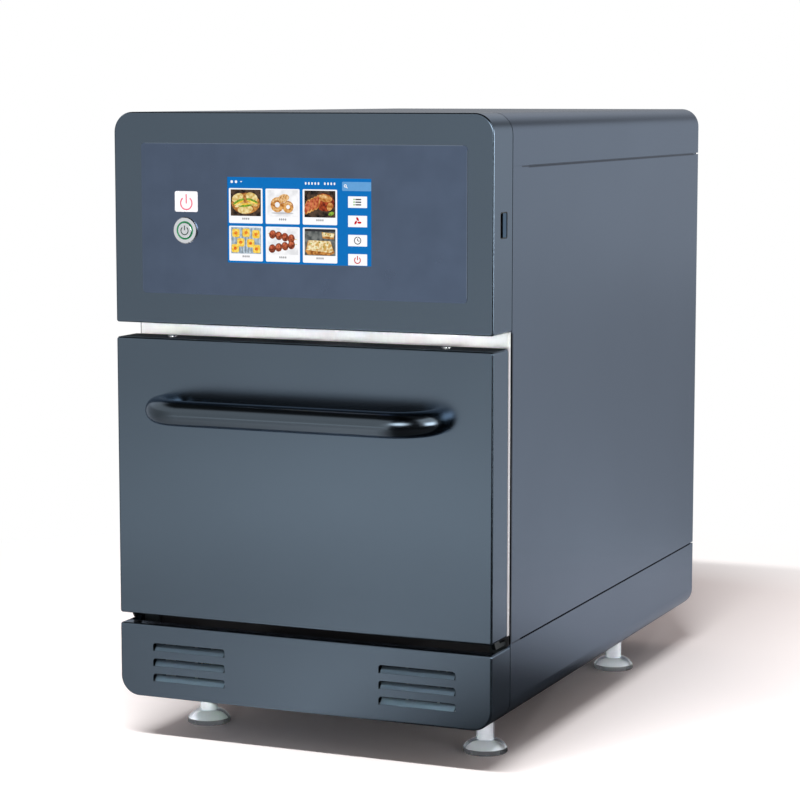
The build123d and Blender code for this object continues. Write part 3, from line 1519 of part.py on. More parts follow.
# Cooling fan rotor: a hub with tilted blades that turns on the frame's pin
rotor_low = pin_length - fan_rotor_depth - fan_arm_depth / 2
blade_reach = fan_blade_radius - fan_hub_radius
with BuildPart() as cooling_fan_rotor:
    with BuildSketch(fan_axis.offset(rotor_low)):
        Circle(fan_hub_radius)
    extrude(amount=fan_rotor_depth)
    for blade in range(fan_blades):
        turn = math.radians(blade * full_turn / fan_blades)
        outwards = Vector(math.cos(turn), 0, math.sin(turn))
        chord = fan_axis.z_dir.rotate(Axis((0, 0, 0), outwards), fan_blade_tilt)
        root = fan_axis.offset(rotor_low + fan_rotor_depth / 2).origin + outwards * (fan_hub_radius - overrun)
        with BuildSketch(Plane(origin=root, x_dir=chord, z_dir=outwards)):
            Rectangle(fan_rotor_depth, fan_blade_thickness)
        extrude(amount=blade_reach + overrun)
    with BuildSketch(fan_axis.offset(rotor_low + fan_rotor_depth)):
        Circle(fan_pin_radius + running_gap)
    extrude(amount=-(fan_rotor_depth / 2), mode=Mode.SUBTRACT)
write("cooling_fan_rotor", cooling_fan_rotor)

# Fan guard: rings and crossed spokes on the outside of the rear panel
guard_step = (fan_bore_radius - guard_ring) / guard_rings
with BuildPart() as fan_guard:
    with BuildSketch(Plane(origin=(fan_shift, y_panel + sheet, z_fan), x_dir=(1, 0, 0), z_dir=(0, 1, 0))):
        for ring in range(guard_rings, 0, -1):
            Circle(ring * guard_step + guard_ring)
            Circle(ring * guard_step, mode=Mode.SUBTRACT)
        for angle in guard_spoke_angles:
            Rectangle(fan_hole_pitch * math.sqrt(2), guard_ring, rotation=angle)
        with GridLocations(fan_hole_pitch, fan_hole_pitch, 2, 2):
            Circle(guard_ear_radius)
    extrude(amount=guard_thickness)
write("fan_guard", fan_guard)

# Cable gland: a hexagon and a dome outside the rear panel, a nut inside, bored for the mains cable
gland_axis = Plane(origin=(-gland_shift, y_panel + sheet, z_gland), x_dir=(1, 0, 0), z_dir=(0, 1, 0))
gland_length = gland_reach + rear_inset
with BuildPart() as cable_gland:
    with BuildSketch(gland_axis):
        RegularPolygon(hexagon(gland_nut_flats), hex_sides)
    extrude(amount=gland_nut_length)
    with BuildSketch(gland_axis):
        Circle(gland_radius)
    extrude(amount=gland_length)
    fillet(cable_gland.faces().sort_by(Axis.Y)[-1].edges(), gland_dome)
    with BuildSketch(gland_axis):
        Circle(gland_radius)
    extrude(amount=-(sheet + gland_inside))
    with BuildSketch(gland_axis.offset(-sheet)):
        RegularPolygon(hexagon(gland_nut_flats), hex_sides)
    extrude(amount=-gland_nut_length / 2)
    with BuildSketch(gland_axis.offset(gland_length)):
        Circle(gland_bore_radius)
    extrude(amount=-(gland_length + gland_inside + 2 * overrun), mode=Mode.SUBTRACT)
write("cable_gland", cable_gland)

# Foot bushes: flanged bushes in the tray, bored for the feet's studs
with BuildPart() as foot_bushes:
    with BuildSketch(Plane.XY.offset(z_base)):
        with Locations(*foot_places):
            Circle(bush_flange_radius)
    extrude(amount=-bush_flange_thickness)
    with BuildSketch(Plane.XY.offset(z_base)):
        with Locations(*foot_places):
            Circle(bush_radius)
    extrude(amount=bush_height)
    with BuildSketch(Plane.XY.offset(z_base - bush_flange_thickness)):
        with Locations(*foot_places):
            Circle(stud_thread_radius + running_gap)
    extrude(amount=bush_flange_thickness + bush_height, mode=Mode.SUBTRACT)
write("foot_bushes", foot_bushes)


def foot(place):
    """A turned foot: rim, domed disc, stem and the stud that goes up into its bush."""
    x, y = place
    z_dome = foot_rim_height + foot_edge
    z_dome_top = z_dome + foot_dome_height
    z_stem = z_base - bush_flange_thickness - seat_gap
    dome_radius = foot_rim_radius - foot_edge
    with BuildPart() as turned:
        with BuildSketch(Plane(origin=(x, y, 0), x_dir=(1, 0, 0), z_dir=(0, -1, 0))):
            with BuildLine():
                Polyline(
                    (dome_radius, z_dome),
                    (foot_rim_radius, foot_rim_height),
                    (foot_rim_radius, foot_edge),
                    (dome_radius, 0),
                    (0, 0),
                    (0, z_stem + stud_length),
                    (stud_thread_radius, z_stem + stud_length),
                    (stud_thread_radius, z_stem),
                    (foot_stem_radius, z_stem),
                    (foot_stem_radius, z_dome_top),
                )
                ThreePointArc(
                    (foot_stem_radius, z_dome_top),
                    (
                        (foot_stem_radius + dome_radius) / 2 + foot_dome_bulge / 2,
                        (z_dome + z_dome_top) / 2 + foot_dome_bulge,
                    ),
                    (dome_radius, z_dome),
                )
            make_face()
        revolve(axis=Axis((x, y, 0), (0, 0, 1)))
    return turned


for name, place in zip(
    ("foot_front_left", "foot_front_right", "foot_rear_left", "foot_rear_right"), foot_places
):
    write(name, foot(place))

print("pieces", len(os.listdir("parts")), "front at", y_front, "rear at", y_rear + gland_reach)
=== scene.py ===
# %% [markdown]
# # Dressing a countertop speed oven
# A speed oven is a narrow commercial oven: a painted steel cabinet on four turned feet, with a control
# hood at the top, a drop-down door in the middle and a louvred kick panel at the bottom. Its real shape
# and its joints come from a CAD model, which is loaded here as a fixed frame. This notebook adds what a
# camera sees: the paint, the brushed steel, the lit display, the printed symbols and the light.

import json
import math

import bpy
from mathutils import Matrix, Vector


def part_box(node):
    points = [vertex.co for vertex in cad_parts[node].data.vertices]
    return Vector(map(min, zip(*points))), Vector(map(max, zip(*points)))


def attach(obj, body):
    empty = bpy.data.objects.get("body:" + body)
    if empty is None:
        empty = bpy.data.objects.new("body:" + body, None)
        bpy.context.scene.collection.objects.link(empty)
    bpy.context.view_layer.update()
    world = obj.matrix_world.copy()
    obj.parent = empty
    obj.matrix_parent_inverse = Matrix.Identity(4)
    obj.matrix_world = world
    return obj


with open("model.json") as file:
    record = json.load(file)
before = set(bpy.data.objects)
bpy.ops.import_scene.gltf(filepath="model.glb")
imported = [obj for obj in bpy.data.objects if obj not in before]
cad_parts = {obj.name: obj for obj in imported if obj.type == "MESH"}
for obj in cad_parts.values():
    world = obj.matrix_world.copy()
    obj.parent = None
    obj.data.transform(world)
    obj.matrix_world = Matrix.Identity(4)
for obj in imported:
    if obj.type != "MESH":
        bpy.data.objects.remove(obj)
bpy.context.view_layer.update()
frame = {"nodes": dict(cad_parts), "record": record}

# %% [markdown]
# ## The camera
# A product photographer stands far back with a long lens, so that the oven's sides stay nearly parallel.
# The place, the turn and the lens were solved from the edges of the hood, the door and the kick panel.
# They are written from the hood's front face and the cabinet's underside, which the frame gives.

# %% Place the camera
hood_low, hood_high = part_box("control_hood")
tray_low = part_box("base_tray")[0]
camera_right = 1.0388
camera_ahead = 2.1719
camera_rise = 0.5994
camera_turn = 23.249
camera_tilt = 6.910
camera_lens = 113.309

lens = bpy.data.cameras.new("camera")
lens.sensor_width = 36
lens.lens = camera_lens
camera = bpy.data.objects.new("camera", lens)
camera.location = (camera_right, hood_low.y - camera_ahead, tray_low.z + camera_rise)
camera.rotation_euler = (math.radians(90 - camera_tilt), 0, math.radians(camera_turn))
bpy.context.collection.objects.link(camera)
bpy.context.scene.camera = camera
print("camera at", [round(value, 3) for value in camera.location])

# %% [markdown]
# ## A helper for materials
# Every finish below is a node tree round one Principled shader. Writing each node by hand takes four
# lines, so two small helpers add a node with its settings and start a material with its plain values.
# A value that is the same all over goes straight on the shader's own socket.

# %% Helpers for node trees
def add_node(tree, kind, inputs=None, **settings):
    """Adds one shader node, with its options and its unlinked inputs."""
    made = tree.nodes.new("ShaderNode" + kind)
    for name, value in settings.items():
        setattr(made, name, value)
    for name, value in (inputs or {}).items():
        made.inputs[name].default_value = value
    return made


def start_finish(name, color, **plain):
    """A new material, its node tree and its shader, with the plain values set on the shader."""
    material = bpy.data.materials.new(name)
    material.use_nodes = True
    shader = material.node_tree.nodes["Principled BSDF"]
    shader.inputs["Base Color"].default_value = (*color, 1)
    for socket, value in plain.items():
        shader.inputs[socket.replace("_", " ")].default_value = value
    return material, material.node_tree, shader


def noise_at(tree, scale, stretch=(1, 1, 1), detail=2.0):
    """Noise in the object's own metres, so that its grain has a real size on every piece."""
    place = add_node(tree, "TexCoord")
    mapping = add_node(tree, "Mapping", {"Scale": stretch})
    noise = add_node(tree, "TexNoise", {"Scale": scale, "Detail": detail})
    tree.links.new(place.outputs["Object"], mapping.inputs["Vector"])
    tree.links.new(mapping.outputs["Vector"], noise.inputs["Vector"])
    return noise


def drift_between(tree, noise, low, high):
    """Stretches the middle of a noise, where most of its values lie, between two values."""
    drift = add_node(tree, "MapRange", {"From Min": 0.3, "From Max": 0.7, "To Min": low, "To Max": high})
    tree.links.new(noise.outputs["Fac"], drift.inputs["Value"])
    return drift.outputs["Result"]


def vary_color(tree, shader, noise, color, amount):
    """Lets the base colour drift a little, up and down, with a noise."""
    scaled = add_node(tree, "VectorMath", operation="SCALE")
    scaled.inputs[0].default_value = color
    tree.links.new(drift_between(tree, noise, 1 - amount, 1 + amount), scaled.inputs["Scale"])
    tree.links.new(scaled.outputs["Vector"], shader.inputs["Base Color"])


def vary_roughness(tree, shader, noise, low, high):
    """Lets the roughness drift between two values with a noise."""
    tree.links.new(drift_between(tree, noise, low, high), shader.inputs["Roughness"])


def bump_with(tree, shader, noise, depth, strength=1.0):
    """Turns a noise into a bump of a real depth in metres."""
    bump = add_node(tree, "Bump", {"Distance": depth, "Strength": strength})
    tree.links.new(noise.outputs["Fac"], bump.inputs["Height"])
    tree.links.new(bump.outputs["Normal"], shader.inputs["Normal"])


# %% [markdown]
# ## Paint
# The hood, the door, the kick panel and the cabinet carry a dark metallic powder coat. Almost all that is
# seen of it is a soft reflection of the white studio, so it is a tinted mirror with some roughness rather
# than a plain colour. Powder coat also has a fine orange peel about a millimetre across, and its gloss
# drifts slightly over a large panel. Both come from noise.

# %% Powder coat for the hood, door, kick panel and cabinet
gloss_drift = 0.008
peel_depth = 0.000006


def powder_coat(name, color, roughness, edge_tint, **plain):
    """Metallic powder coat: a tinted soft mirror with a fine orange peel."""
    material, tree, shader = start_finish(name, color, Metallic=1.0, Specular_Tint=(*edge_tint, 1), **plain)
    vary_color(tree, shader, noise_at(tree, 5), color, 0.03)
    vary_roughness(tree, shader, noise_at(tree, 9), roughness - gloss_drift, roughness + gloss_drift)
    bump_with(tree, shader, noise_at(tree, 900), peel_depth)
    return material


front_grey = powder_coat("front_grey", (0.104, 0.138, 0.176), 0.22, (0.85, 0.9, 1.0))
body_grey = powder_coat("body_grey", (0.106, 0.136, 0.178), 0.25, (0.85, 0.9, 1.0))
handle_grey = powder_coat(
    "handle_grey", (0.064, 0.086, 0.108), 0.2, (0.75, 0.85, 1.0), Coat_Weight=0.4, Coat_Roughness=0.14
)
print("paint:", front_grey.name, body_grey.name, handle_grey.name)

# %% [markdown]
# ## Metal
# Brushed steel has scratches that run one way, so its noise is stretched along one axis before it turns
# into bump. Polished steel has only a trace of them. Galvanised sheet is rougher and cloudy. The front
# plate and the feet are partly plain surface and partly mirror, because they catch light from many sides.

# %% Bright metals
def brushed_metal(name, color, roughness, stretch, depth=0.00001):
    """Metal with scratches along the axis whose stretch is small."""
    material, tree, shader = start_finish(name, color, Metallic=1.0)
    scratches = noise_at(tree, 500, stretch, 4.0)
    vary_color(tree, shader, noise_at(tree, 12), color, 0.05)
    vary_roughness(tree, shader, scratches, roughness - 0.06, roughness + 0.06)
    bump_with(tree, shader, scratches, depth)
    return material


plate_color = (0.93, 0.94, 1.0)
plate_steel, tree, shader = start_finish("plate_steel", plate_color, Metallic=0.4)
plate_scratches = noise_at(tree, 500, (0.03, 1, 1), 4.0)
vary_color(tree, shader, noise_at(tree, 12), plate_color, 0.03)
vary_roughness(tree, shader, plate_scratches, 0.3, 0.42)
bump_with(tree, shader, plate_scratches, 0.00001)

foot_color = (0.86, 0.91, 0.98)
foot_steel, tree, shader = start_finish("foot_steel", foot_color, Metallic=0.72)
vary_color(tree, shader, noise_at(tree, 60), foot_color, 0.02)
vary_roughness(tree, shader, noise_at(tree, 90, (1, 1, 8)), 0.2, 0.26)
bump_with(tree, shader, noise_at(tree, 900, (1, 1, 12)), 0.000001)

chamber_steel = brushed_metal("chamber_steel", (0.62, 0.61, 0.60), 0.34, (1, 1, 0.03))
turned_steel = brushed_metal("turned_steel", (0.84, 0.86, 0.89), 0.2, (1, 1, 6), 0.000004)
# The hinge brackets' steel is darkened to paint the shade of the gap under the door.
painted_shade_steel = brushed_metal("painted_shade_steel", (0.06, 0.07, 0.075), 0.45, (1, 1, 1))
galvanised = brushed_metal("galvanised", (0.55, 0.57, 0.59), 0.42, (1, 1, 1))
aluminium = brushed_metal("aluminium", (0.66, 0.67, 0.69), 0.38, (1, 0.2, 1))
heater_sheath = brushed_metal("heater_sheath", (0.20, 0.16, 0.14), 0.45, (1, 1, 1))
turned_brass = brushed_metal("turned_brass", (0.72, 0.52, 0.24), 0.25, (1, 1, 6))
laminations = brushed_metal("laminations", (0.20, 0.18, 0.17), 0.5, (1, 1, 8), 0.00005)
print("materials so far:", len(bpy.data.materials))

# %% [markdown]
# ## Painted shade
# Shade is painted into a few areas of a finish, which are darker than the rest where shade falls: the front
# plate in the gap under the door, the cabinet's front edge in the gap beside the door, inside both side
# seams, the door's top fold under the hood and the rim under each foot. Each is a box in metres. Inside it
# the finish keeps only a share of its colour, and outside it nothing changes.

# %% Paint shade into some areas
def painted_shade_box(material, low, high, share):
    """Paints shade into a finish inside a box, where a gap, a seam, a fold or a rim lies in shade."""
    tree = material.node_tree
    shader = tree.nodes["Principled BSDF"]
    source = shader.inputs["Base Color"].links[0].from_socket
    place = add_node(tree, "TexCoord")
    from_middle = add_node(tree, "VectorMath", operation="SUBTRACT")
    from_middle.inputs[1].default_value = [(a + b) / 2 for a, b in zip(low, high)]
    in_halves = add_node(tree, "VectorMath", operation="DIVIDE")
    in_halves.inputs[1].default_value = [(b - a) / 2 for a, b in zip(low, high)]
    sizes = add_node(tree, "VectorMath", operation="ABSOLUTE")
    split = add_node(tree, "SeparateXYZ")
    wider = add_node(tree, "Math", operation="MAXIMUM")
    widest = add_node(tree, "Math", operation="MAXIMUM")
    step = add_node(tree, "MapRange", {"From Min": 0.999, "From Max": 1.001, "To Min": share, "To Max": 1.0})
    scaled = add_node(tree, "VectorMath", operation="SCALE")
    tree.links.new(place.outputs["Object"], from_middle.inputs[0])
    tree.links.new(from_middle.outputs["Vector"], in_halves.inputs[0])
    tree.links.new(in_halves.outputs["Vector"], sizes.inputs[0])
    tree.links.new(sizes.outputs["Vector"], split.inputs["Vector"])
    tree.links.new(split.outputs["X"], wider.inputs[0])
    tree.links.new(split.outputs["Y"], wider.inputs[1])
    tree.links.new(wider.outputs["Value"], widest.inputs[0])
    tree.links.new(split.outputs["Z"], widest.inputs[1])
    tree.links.new(widest.outputs["Value"], step.inputs["Value"])
    tree.links.new(source, scaled.inputs[0])
    tree.links.new(step.outputs["Result"], scaled.inputs["Scale"])
    tree.links.new(scaled.outputs["Vector"], shader.inputs["Base Color"])


across = 0.3
# Each box paints shade: the plate in the gap under the door, the gap beside the door, inside the side seams
# and their narrow front ends, the door's top fold under the hood and the foot rims under the cabinet.
painted_shade_areas = {
    "front plate under the door": (plate_steel, (-0.3, 0.04), (-0.2, 0.1315), 0.06),
    "cabinet's front edge beside the door": (body_grey, (-0.262, 0.123), (-0.2575, 0.4225), 0.12),
    "upper seam": (body_grey, (-0.2182, 0.5775), (0.332, 0.5802), 0.25),
    "lower seam": (body_grey, (-0.235, 0.1215), (0.332, 0.1238), 0.25),
    "upper seam's narrow front end": (body_grey, (-0.236, 0.5784), (-0.2182, 0.5797), 0.25),
    "lower seam's narrow front end": (body_grey, (-0.257, 0.1222), (-0.235, 0.1236), 0.3),
    "door's top fold": (front_grey, (-0.31, 0.4082), (-0.26, 0.412), 0.06),
    "rim under each foot": (foot_steel, (-0.3, -0.001), (0.3, 0.0052), 0.2),
}
for finish, low, high, share in painted_shade_areas.values():
    painted_shade_box(finish, (-across, *low), (across, *high), share)
print("dark areas:", ", ".join(painted_shade_areas))

# %% [markdown]
# ## Plastics, films and soft materials
# Moulded plastic has a fine even grain and no metal sheen, and the printed films are nearly smooth. The
# silicone gasket, the mineral wool and the catalyst each get the grain that they have at their own scale.

# %% Dark and soft finishes
def grained(name, color, roughness, grain_scale, grain_depth, drift=0.05, **plain):
    """A matt finish with an even grain."""
    material, tree, shader = start_finish(name, color, **plain)
    vary_color(tree, shader, noise_at(tree, 40), color, drift)
    vary_roughness(tree, shader, noise_at(tree, 30), roughness - 0.03, roughness + 0.03)
    bump_with(tree, shader, noise_at(tree, grain_scale), grain_depth)
    return material


black_plastic = grained("black_plastic", (0.018, 0.019, 0.021), 0.48, 1500, 0.00003)
overlay_film = grained("overlay_film", (0.099, 0.133, 0.2), 0.3, 1800, 0.00001, Metallic=1.0)
label_film = grained("label_film", (0.93, 0.93, 0.96), 0.45, 1800, 0.00001)
circuit_green = grained("circuit_green", (0.02, 0.16, 0.06), 0.35, 600, 0.00002)
silicone = grained("silicone", (0.12, 0.12, 0.125), 0.55, 1200, 0.00003)
mineral_wool = grained("mineral_wool", (0.55, 0.48, 0.30), 0.9, 300, 0.0006, 0.2)
catalyst_coat = grained("catalyst_coat", (0.32, 0.24, 0.17), 0.8, 500, 0.0001, 0.15)
filter_mesh = grained("filter_mesh", (0.30, 0.31, 0.32), 0.4, 900, 0.0002, 0.1, Metallic=1.0)
display_glass = grained("display_glass", (0.004, 0.006, 0.012), 0.08, 200, 0.000001)

lens_color = (0.01, 0.20, 0.07)
green_lens, tree, shader = start_finish(
    "green_lens", lens_color, Roughness=0.3, Emission_Color=(0.0, 0.22, 0.07, 1), Emission_Strength=0.3
)
vary_color(tree, shader, noise_at(tree, 400), lens_color, 0.1)
print("materials so far:", len(bpy.data.materials))

# %% [markdown]
# ## Which finish goes where
# The imported record groups the nodes into material slots. Each slot gets one finish, and a few nodes that
# share a slot but differ in their grain get their own; the hinge brackets get a darkened steel that paints
# the shade of the gap under the door that they sit in.

# %% Give every node its finish
slot_finish = {
    "front_paint": front_grey,
    "body_paint": body_grey,
    "stainless": chamber_steel,
    "galvanised": galvanised,
    "black_metal": handle_grey,
    "polished_steel": turned_steel,
    "overlay_film": overlay_film,
    "display_glass": display_glass,
    "circuit_board": circuit_green,
    "label_film": label_film,
    "green_light": green_lens,
    "black_plastic": black_plastic,
    "filter_mesh": filter_mesh,
    "mineral_wool": mineral_wool,
    "silicone": silicone,
    "catalyst": catalyst_coat,
    "heater_sheath": heater_sheath,
    "laminations": laminations,
    "brass": turned_brass,
    "aluminium_case": aluminium,
}
node_finish = {"front_plate": plate_steel, "hinge_brackets": painted_shade_steel, "rear_panel": body_grey}
for foot in ("foot_front_left", "foot_front_right", "foot_rear_left", "foot_rear_right"):
    node_finish[foot] = foot_steel
for part in frame["record"]["subparts"]:
    node = frame["nodes"][part["node"]]
    finish = node_finish.get(part["node"], slot_finish[part["material_slot"]])
    node.data.materials.clear()
    node.data.materials.append(finish)

# %% [markdown]
# ## Smooth where it is round
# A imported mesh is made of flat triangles. Shading it smooth, with every edge over a set angle kept sharp,
# makes the rounded corners look round and leaves the folds crisp. No point of the mesh moves.

# %% Shade the nodes
round_below = math.radians(32)
for node in frame["nodes"].values():
    node.data.shade_smooth()
    node.data.set_sharp_from_angle(angle=round_below)
print("shaded below", round(math.degrees(round_below)), "degrees")

# %% [markdown]
# ## Flat shapes on the front
# The display's tiles, the printed symbols and the food pictures are all flat shapes a few hundredths of
# a millimetre thick, seen from the front. They could be a painted texture, but real outlines stay crisp
# at any distance. Each shape is a list of points across the front, and one function gives it thickness.

# %% Helpers for flat shapes
def piece_from(name, points, faces, finish, body="cabinet"):
    """A mesh piece from points and faces, finished and riding on a body."""
    mesh = bpy.data.meshes.new(name)
    mesh.from_pydata(points, [], faces)
    mesh.validate()
    mesh.update()
    piece = bpy.data.objects.new(name, mesh)
    bpy.context.collection.objects.link(piece)
    mesh.materials.append(finish)
    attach(piece, body)
    return piece


def rounded_rectangle(left, top, width, height, radius, steps=5):
    """Points of a rounded rectangle, given by its top left corner."""
    corners = (
        (left + width - radius, top - radius, 0),
        (left + radius, top - radius, 90),
        (left + radius, top - height + radius, 180),
        (left + width - radius, top - height + radius, 270),
    )
    points = []
    for x, z, start in corners:
        for step in range(steps + 1):
            turn = math.radians(start + 90 * step / steps)
            points.append((x + radius * math.cos(turn), z + radius * math.sin(turn)))
    return points


def ellipse(x, z, half_width, half_height, lean=0, steps=24):
    """Points of an ellipse, leaning by an angle in degrees."""
    run, rise = math.cos(math.radians(lean)), math.sin(math.radians(lean))
    points = []
    for step in range(steps):
        turn = 2 * math.pi * step / steps
        along, up = half_width * math.cos(turn), half_height * math.sin(turn)
        points.append((x + along * run - up * rise, z + along * rise + up * run))
    return points


def flat_shapes(name, outlines, back, thickness, finish, body="cabinet"):
    """Many closed outlines as thin plates, from depth back towards the viewer."""
    points, faces = [], []
    for outline in outlines:
        start, count = len(points), len(outline)
        points += [(x, back - thickness, z) for x, z in outline]
        points += [(x, back, z) for x, z in outline]
        faces.append([start + index for index in range(count)])
        faces.append([start + count + index for index in reversed(range(count))])
        for index in range(count):
            after = (index + 1) % count
            faces.append([start + after, start + index, start + count + index, start + count + after])
    return piece_from(name, points, faces, finish, body)


def arc_band(x, z, inner, outer, first, last, steps=28):
    """Part of a flat ring between two angles in degrees, anticlockwise as seen."""
    turns = [math.radians(first + (last - first) * step / steps) for step in range(steps + 1)]
    out = [(x + outer * math.cos(turn), z + outer * math.sin(turn)) for turn in turns]
    back = [(x + inner * math.cos(turn), z + inner * math.sin(turn)) for turn in reversed(turns)]
    return out + back


def bar(x, z, width, height):
    """An upright bar round a middle point."""
    return rounded_rectangle(x - width / 2, z + height / 2, width, height, 0.25 * min(width, height), 2)


def slanted_bar(x, z, length, width, lean):
    """A bar of a length, leaning by an angle in degrees."""
    tilt = math.radians(lean)
    along, across = Vector((math.cos(tilt), math.sin(tilt))), Vector((-math.sin(tilt), math.cos(tilt)))
    middle = Vector((x, z))
    ends = [along * s * length / 2 + across * t * width / 2 for s, t in ((1, -1), (1, 1), (-1, 1), (-1, -1))]
    return [tuple(middle + end) for end in ends]


def power_symbol(x, z, radius, width, bar_low, bar_high, gap=38):
    """The standard standby symbol: an open ring, and a bar between two heights over its middle."""
    ring = arc_band(x, z, radius - width / 2, radius + width / 2, 90 + gap, 450 - gap)
    return [ring, bar(x, z + (bar_low + bar_high) / 2, width, bar_high - bar_low)]


print("flat shape helpers ready")

# %% [markdown]
# ## Finishes of the lit display
# A lit display gives its own light, so its colours are all glow, on a black surface with a little gloss.
# The food pictures get blotches of noise between two colours, as a small photograph of food looks from a
# distance.

# %% Display finishes
def lit(name, color, drift=0.03):
    """A plain lit colour: all of it glows, and the surface under it is black."""
    material, tree, shader = start_finish(
        name, (0, 0, 0), Roughness=0.25, Specular_IOR_Level=0.1, Emission_Strength=1.0
    )
    vary_color(tree, shader, noise_at(tree, 300), color, drift)
    tree.links.new(shader.inputs["Base Color"].links[0].from_socket, shader.inputs["Emission Color"])
    tree.links.remove(shader.inputs["Base Color"].links[0])
    return material


def lit_mottle(name, dark, bright, scale, low=0.38, high=0.62):
    """A lit picture of food: noise blotches from a dark colour to a bright one."""
    material, tree, shader = start_finish(
        name, (0, 0, 0), Roughness=0.3, Specular_IOR_Level=0.1, Emission_Strength=1.0
    )
    noise = noise_at(tree, scale, detail=4.0)
    blend = add_node(tree, "ValToRGB")
    blend.color_ramp.elements[0].position = low
    blend.color_ramp.elements[0].color = (*dark, 1)
    blend.color_ramp.elements[1].position = high
    blend.color_ramp.elements[1].color = (*bright, 1)
    tree.links.new(noise.outputs["Fac"], blend.inputs["Fac"])
    tree.links.new(blend.outputs["Color"], shader.inputs["Emission Color"])
    return material


screen_blue = lit("screen_blue", (0.0, 0.16, 0.51))
screen_white = lit("screen_white", (0.98, 0.98, 1.0), 0.01)
screen_sky = lit("screen_sky", (0.13, 0.36, 0.68))
screen_grey = lit("screen_grey", (0.36, 0.36, 0.37), 0.1)
screen_ink = lit("screen_ink", (0.03, 0.03, 0.035), 0.1)
screen_red = lit("screen_red", (0.62, 0.01, 0.02))
screen_green = lit("screen_green", (0.22, 0.52, 0.06))
picture_dark = lit_mottle("picture_dark", (0.008, 0.006, 0.006), (0.09, 0.055, 0.035), 260)
picture_white = lit_mottle("picture_white", (0.78, 0.78, 0.80), (0.98, 0.98, 1.0), 110)
picture_blue = lit_mottle("picture_blue", (0.30, 0.38, 0.45), (0.52, 0.62, 0.70), 300)
picture_shade = lit("picture_shade", (0.55, 0.55, 0.58))
picture_slate = lit_mottle("picture_slate", (0.06, 0.07, 0.07), (0.20, 0.21, 0.20), 200)
food_cream = lit_mottle("food_cream", (0.62, 0.40, 0.10), (0.92, 0.78, 0.40), 330)
food_crust = lit_mottle("food_crust", (0.26, 0.08, 0.015), (0.66, 0.30, 0.07), 380)
food_golden = lit_mottle("food_golden", (0.40, 0.13, 0.02), (0.80, 0.42, 0.13), 360)
food_shine = lit_mottle("food_shine", (0.62, 0.32, 0.10), (0.92, 0.62, 0.32), 500)
food_roast = lit_mottle("food_roast", (0.12, 0.012, 0.005), (0.46, 0.07, 0.02), 320)
food_slice = lit_mottle("food_slice", (0.36, 0.05, 0.02), (0.70, 0.20, 0.09), 420)
food_chunk = lit_mottle("food_chunk", (0.10, 0.015, 0.008), (0.42, 0.10, 0.04), 420)
food_custard = lit_mottle("food_custard", (0.86, 0.48, 0.02), (1.0, 0.76, 0.16), 420)
food_orange = lit_mottle("food_orange", (0.66, 0.10, 0.01), (0.90, 0.32, 0.04), 600)
food_cheese = lit_mottle("food_cheese", (0.62, 0.36, 0.09), (0.95, 0.86, 0.56), 380)
food_leaf = lit_mottle("food_leaf", (0.06, 0.20, 0.01), (0.34, 0.52, 0.06), 500)
print("display finishes ready")

# %% [markdown]
# ## The display's tiles and buttons
# The panel behind the glass is 152 mm wide. It shows a blue page with six white tiles in two rows, each
# with a picture of a dish, and a column of four small buttons on the right. The page is laid out in
# millimetres from its top left corner, and the loops below repeat what repeats.

# %% Lay out the page
overlay_low, overlay_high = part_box("control_overlay")
glass_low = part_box("touch_display")[0]
mm = 0.001
page_width = 152 * mm
page_height = 82.5 * mm
page_left = (hood_low.x + hood_high.x) / 2 + 0.5 * mm - page_width / 2
page_top = hood_low.z + 62 * mm + page_height
page_back = glass_low.y - 0.02 * mm
layer = 0.03 * mm
tile_width, tile_height, tile_radius = 36.1 * mm, 33.6 * mm, 1.1 * mm
tile_left, tile_top = 1.65 * mm, 10.75 * mm
tile_step, row_step = 39.35 * mm, 36.3 * mm
picture_inset_x, picture_inset_z = 1.9 * mm, 1.2 * mm
picture_width, picture_height = 32.4 * mm, 25.4 * mm
letter_width, letter_height, letter_step = 1.5 * mm, 1.9 * mm, 2.05 * mm
letters, caption_drop = 4, 29.2 * mm


def on_page(right, down):
    """A place on the page, from its top left corner, as a place on the oven."""
    return page_left + right, page_top - down


tile_places = [
    (tile_left + column * tile_step, tile_top + row * row_step) for row in range(2) for column in range(3)
]
page = rounded_rectangle(page_left, page_top, page_width, page_height, 0.3 * mm)
tiles = [rounded_rectangle(*on_page(*place), tile_width, tile_height, tile_radius) for place in tile_places]
flat_shapes("display_page", [page], page_back, layer, screen_blue)
flat_shapes("display_tiles", tiles, page_back - layer, layer, screen_white)

captions = []
for right, down in tile_places:
    for letter in range(letters):
        from_middle = (letter - (letters - 1) / 2) * letter_step
        x, z = on_page(right + tile_width / 2 + from_middle, down + caption_drop)
        captions.append(bar(x, z, letter_width, letter_height))
flat_shapes("display_captions", captions, page_back - 2 * layer, layer, screen_grey)
print("tiles:", len(tiles))

# %% [markdown]
# ## The dishes on the tiles
# Each tile shows a dish as a small picture. A picture here is a background plate and a few flat shapes:
# filled buns, glazed rings, a sliced roast, square cakes on a rack, skewers and a tray bake. They are
# drawn as outlines in millimetres from the picture's own corner, which keeps them easy to move.

# %% Draw the dishes
def in_picture(tile, right, down):
    """A place on the oven for a place in a tile's picture, in millimetres."""
    tile_right, tile_down = tile_places[tile]
    return on_page(tile_right + picture_inset_x + right * mm, tile_down + picture_inset_z + down * mm)


def blob(tile, right, down, half_width, half_height, lean=0, steps=16):
    """An ellipse in a tile's picture."""
    x, z = in_picture(tile, right, down)
    return ellipse(x, z, half_width * mm, half_height * mm, lean, steps)


def corner_shape(tile, corners):
    """A straight-sided shape in a tile's picture, its corners listed anticlockwise as seen."""
    return [in_picture(tile, right, down) for right, down in corners]


def curl(tile, right, down, inner, outer, first, last):
    """Part of a ring in a tile's picture, between two angles."""
    x, z = in_picture(tile, right, down)
    return arc_band(x, z, inner * mm, outer * mm, first, last, 16)


def strip(tile, right, down, length, width, lean=0):
    """A straight strip in a tile's picture."""
    x, z = in_picture(tile, right, down)
    return slanted_bar(x, z, length * mm, width * mm, lean)


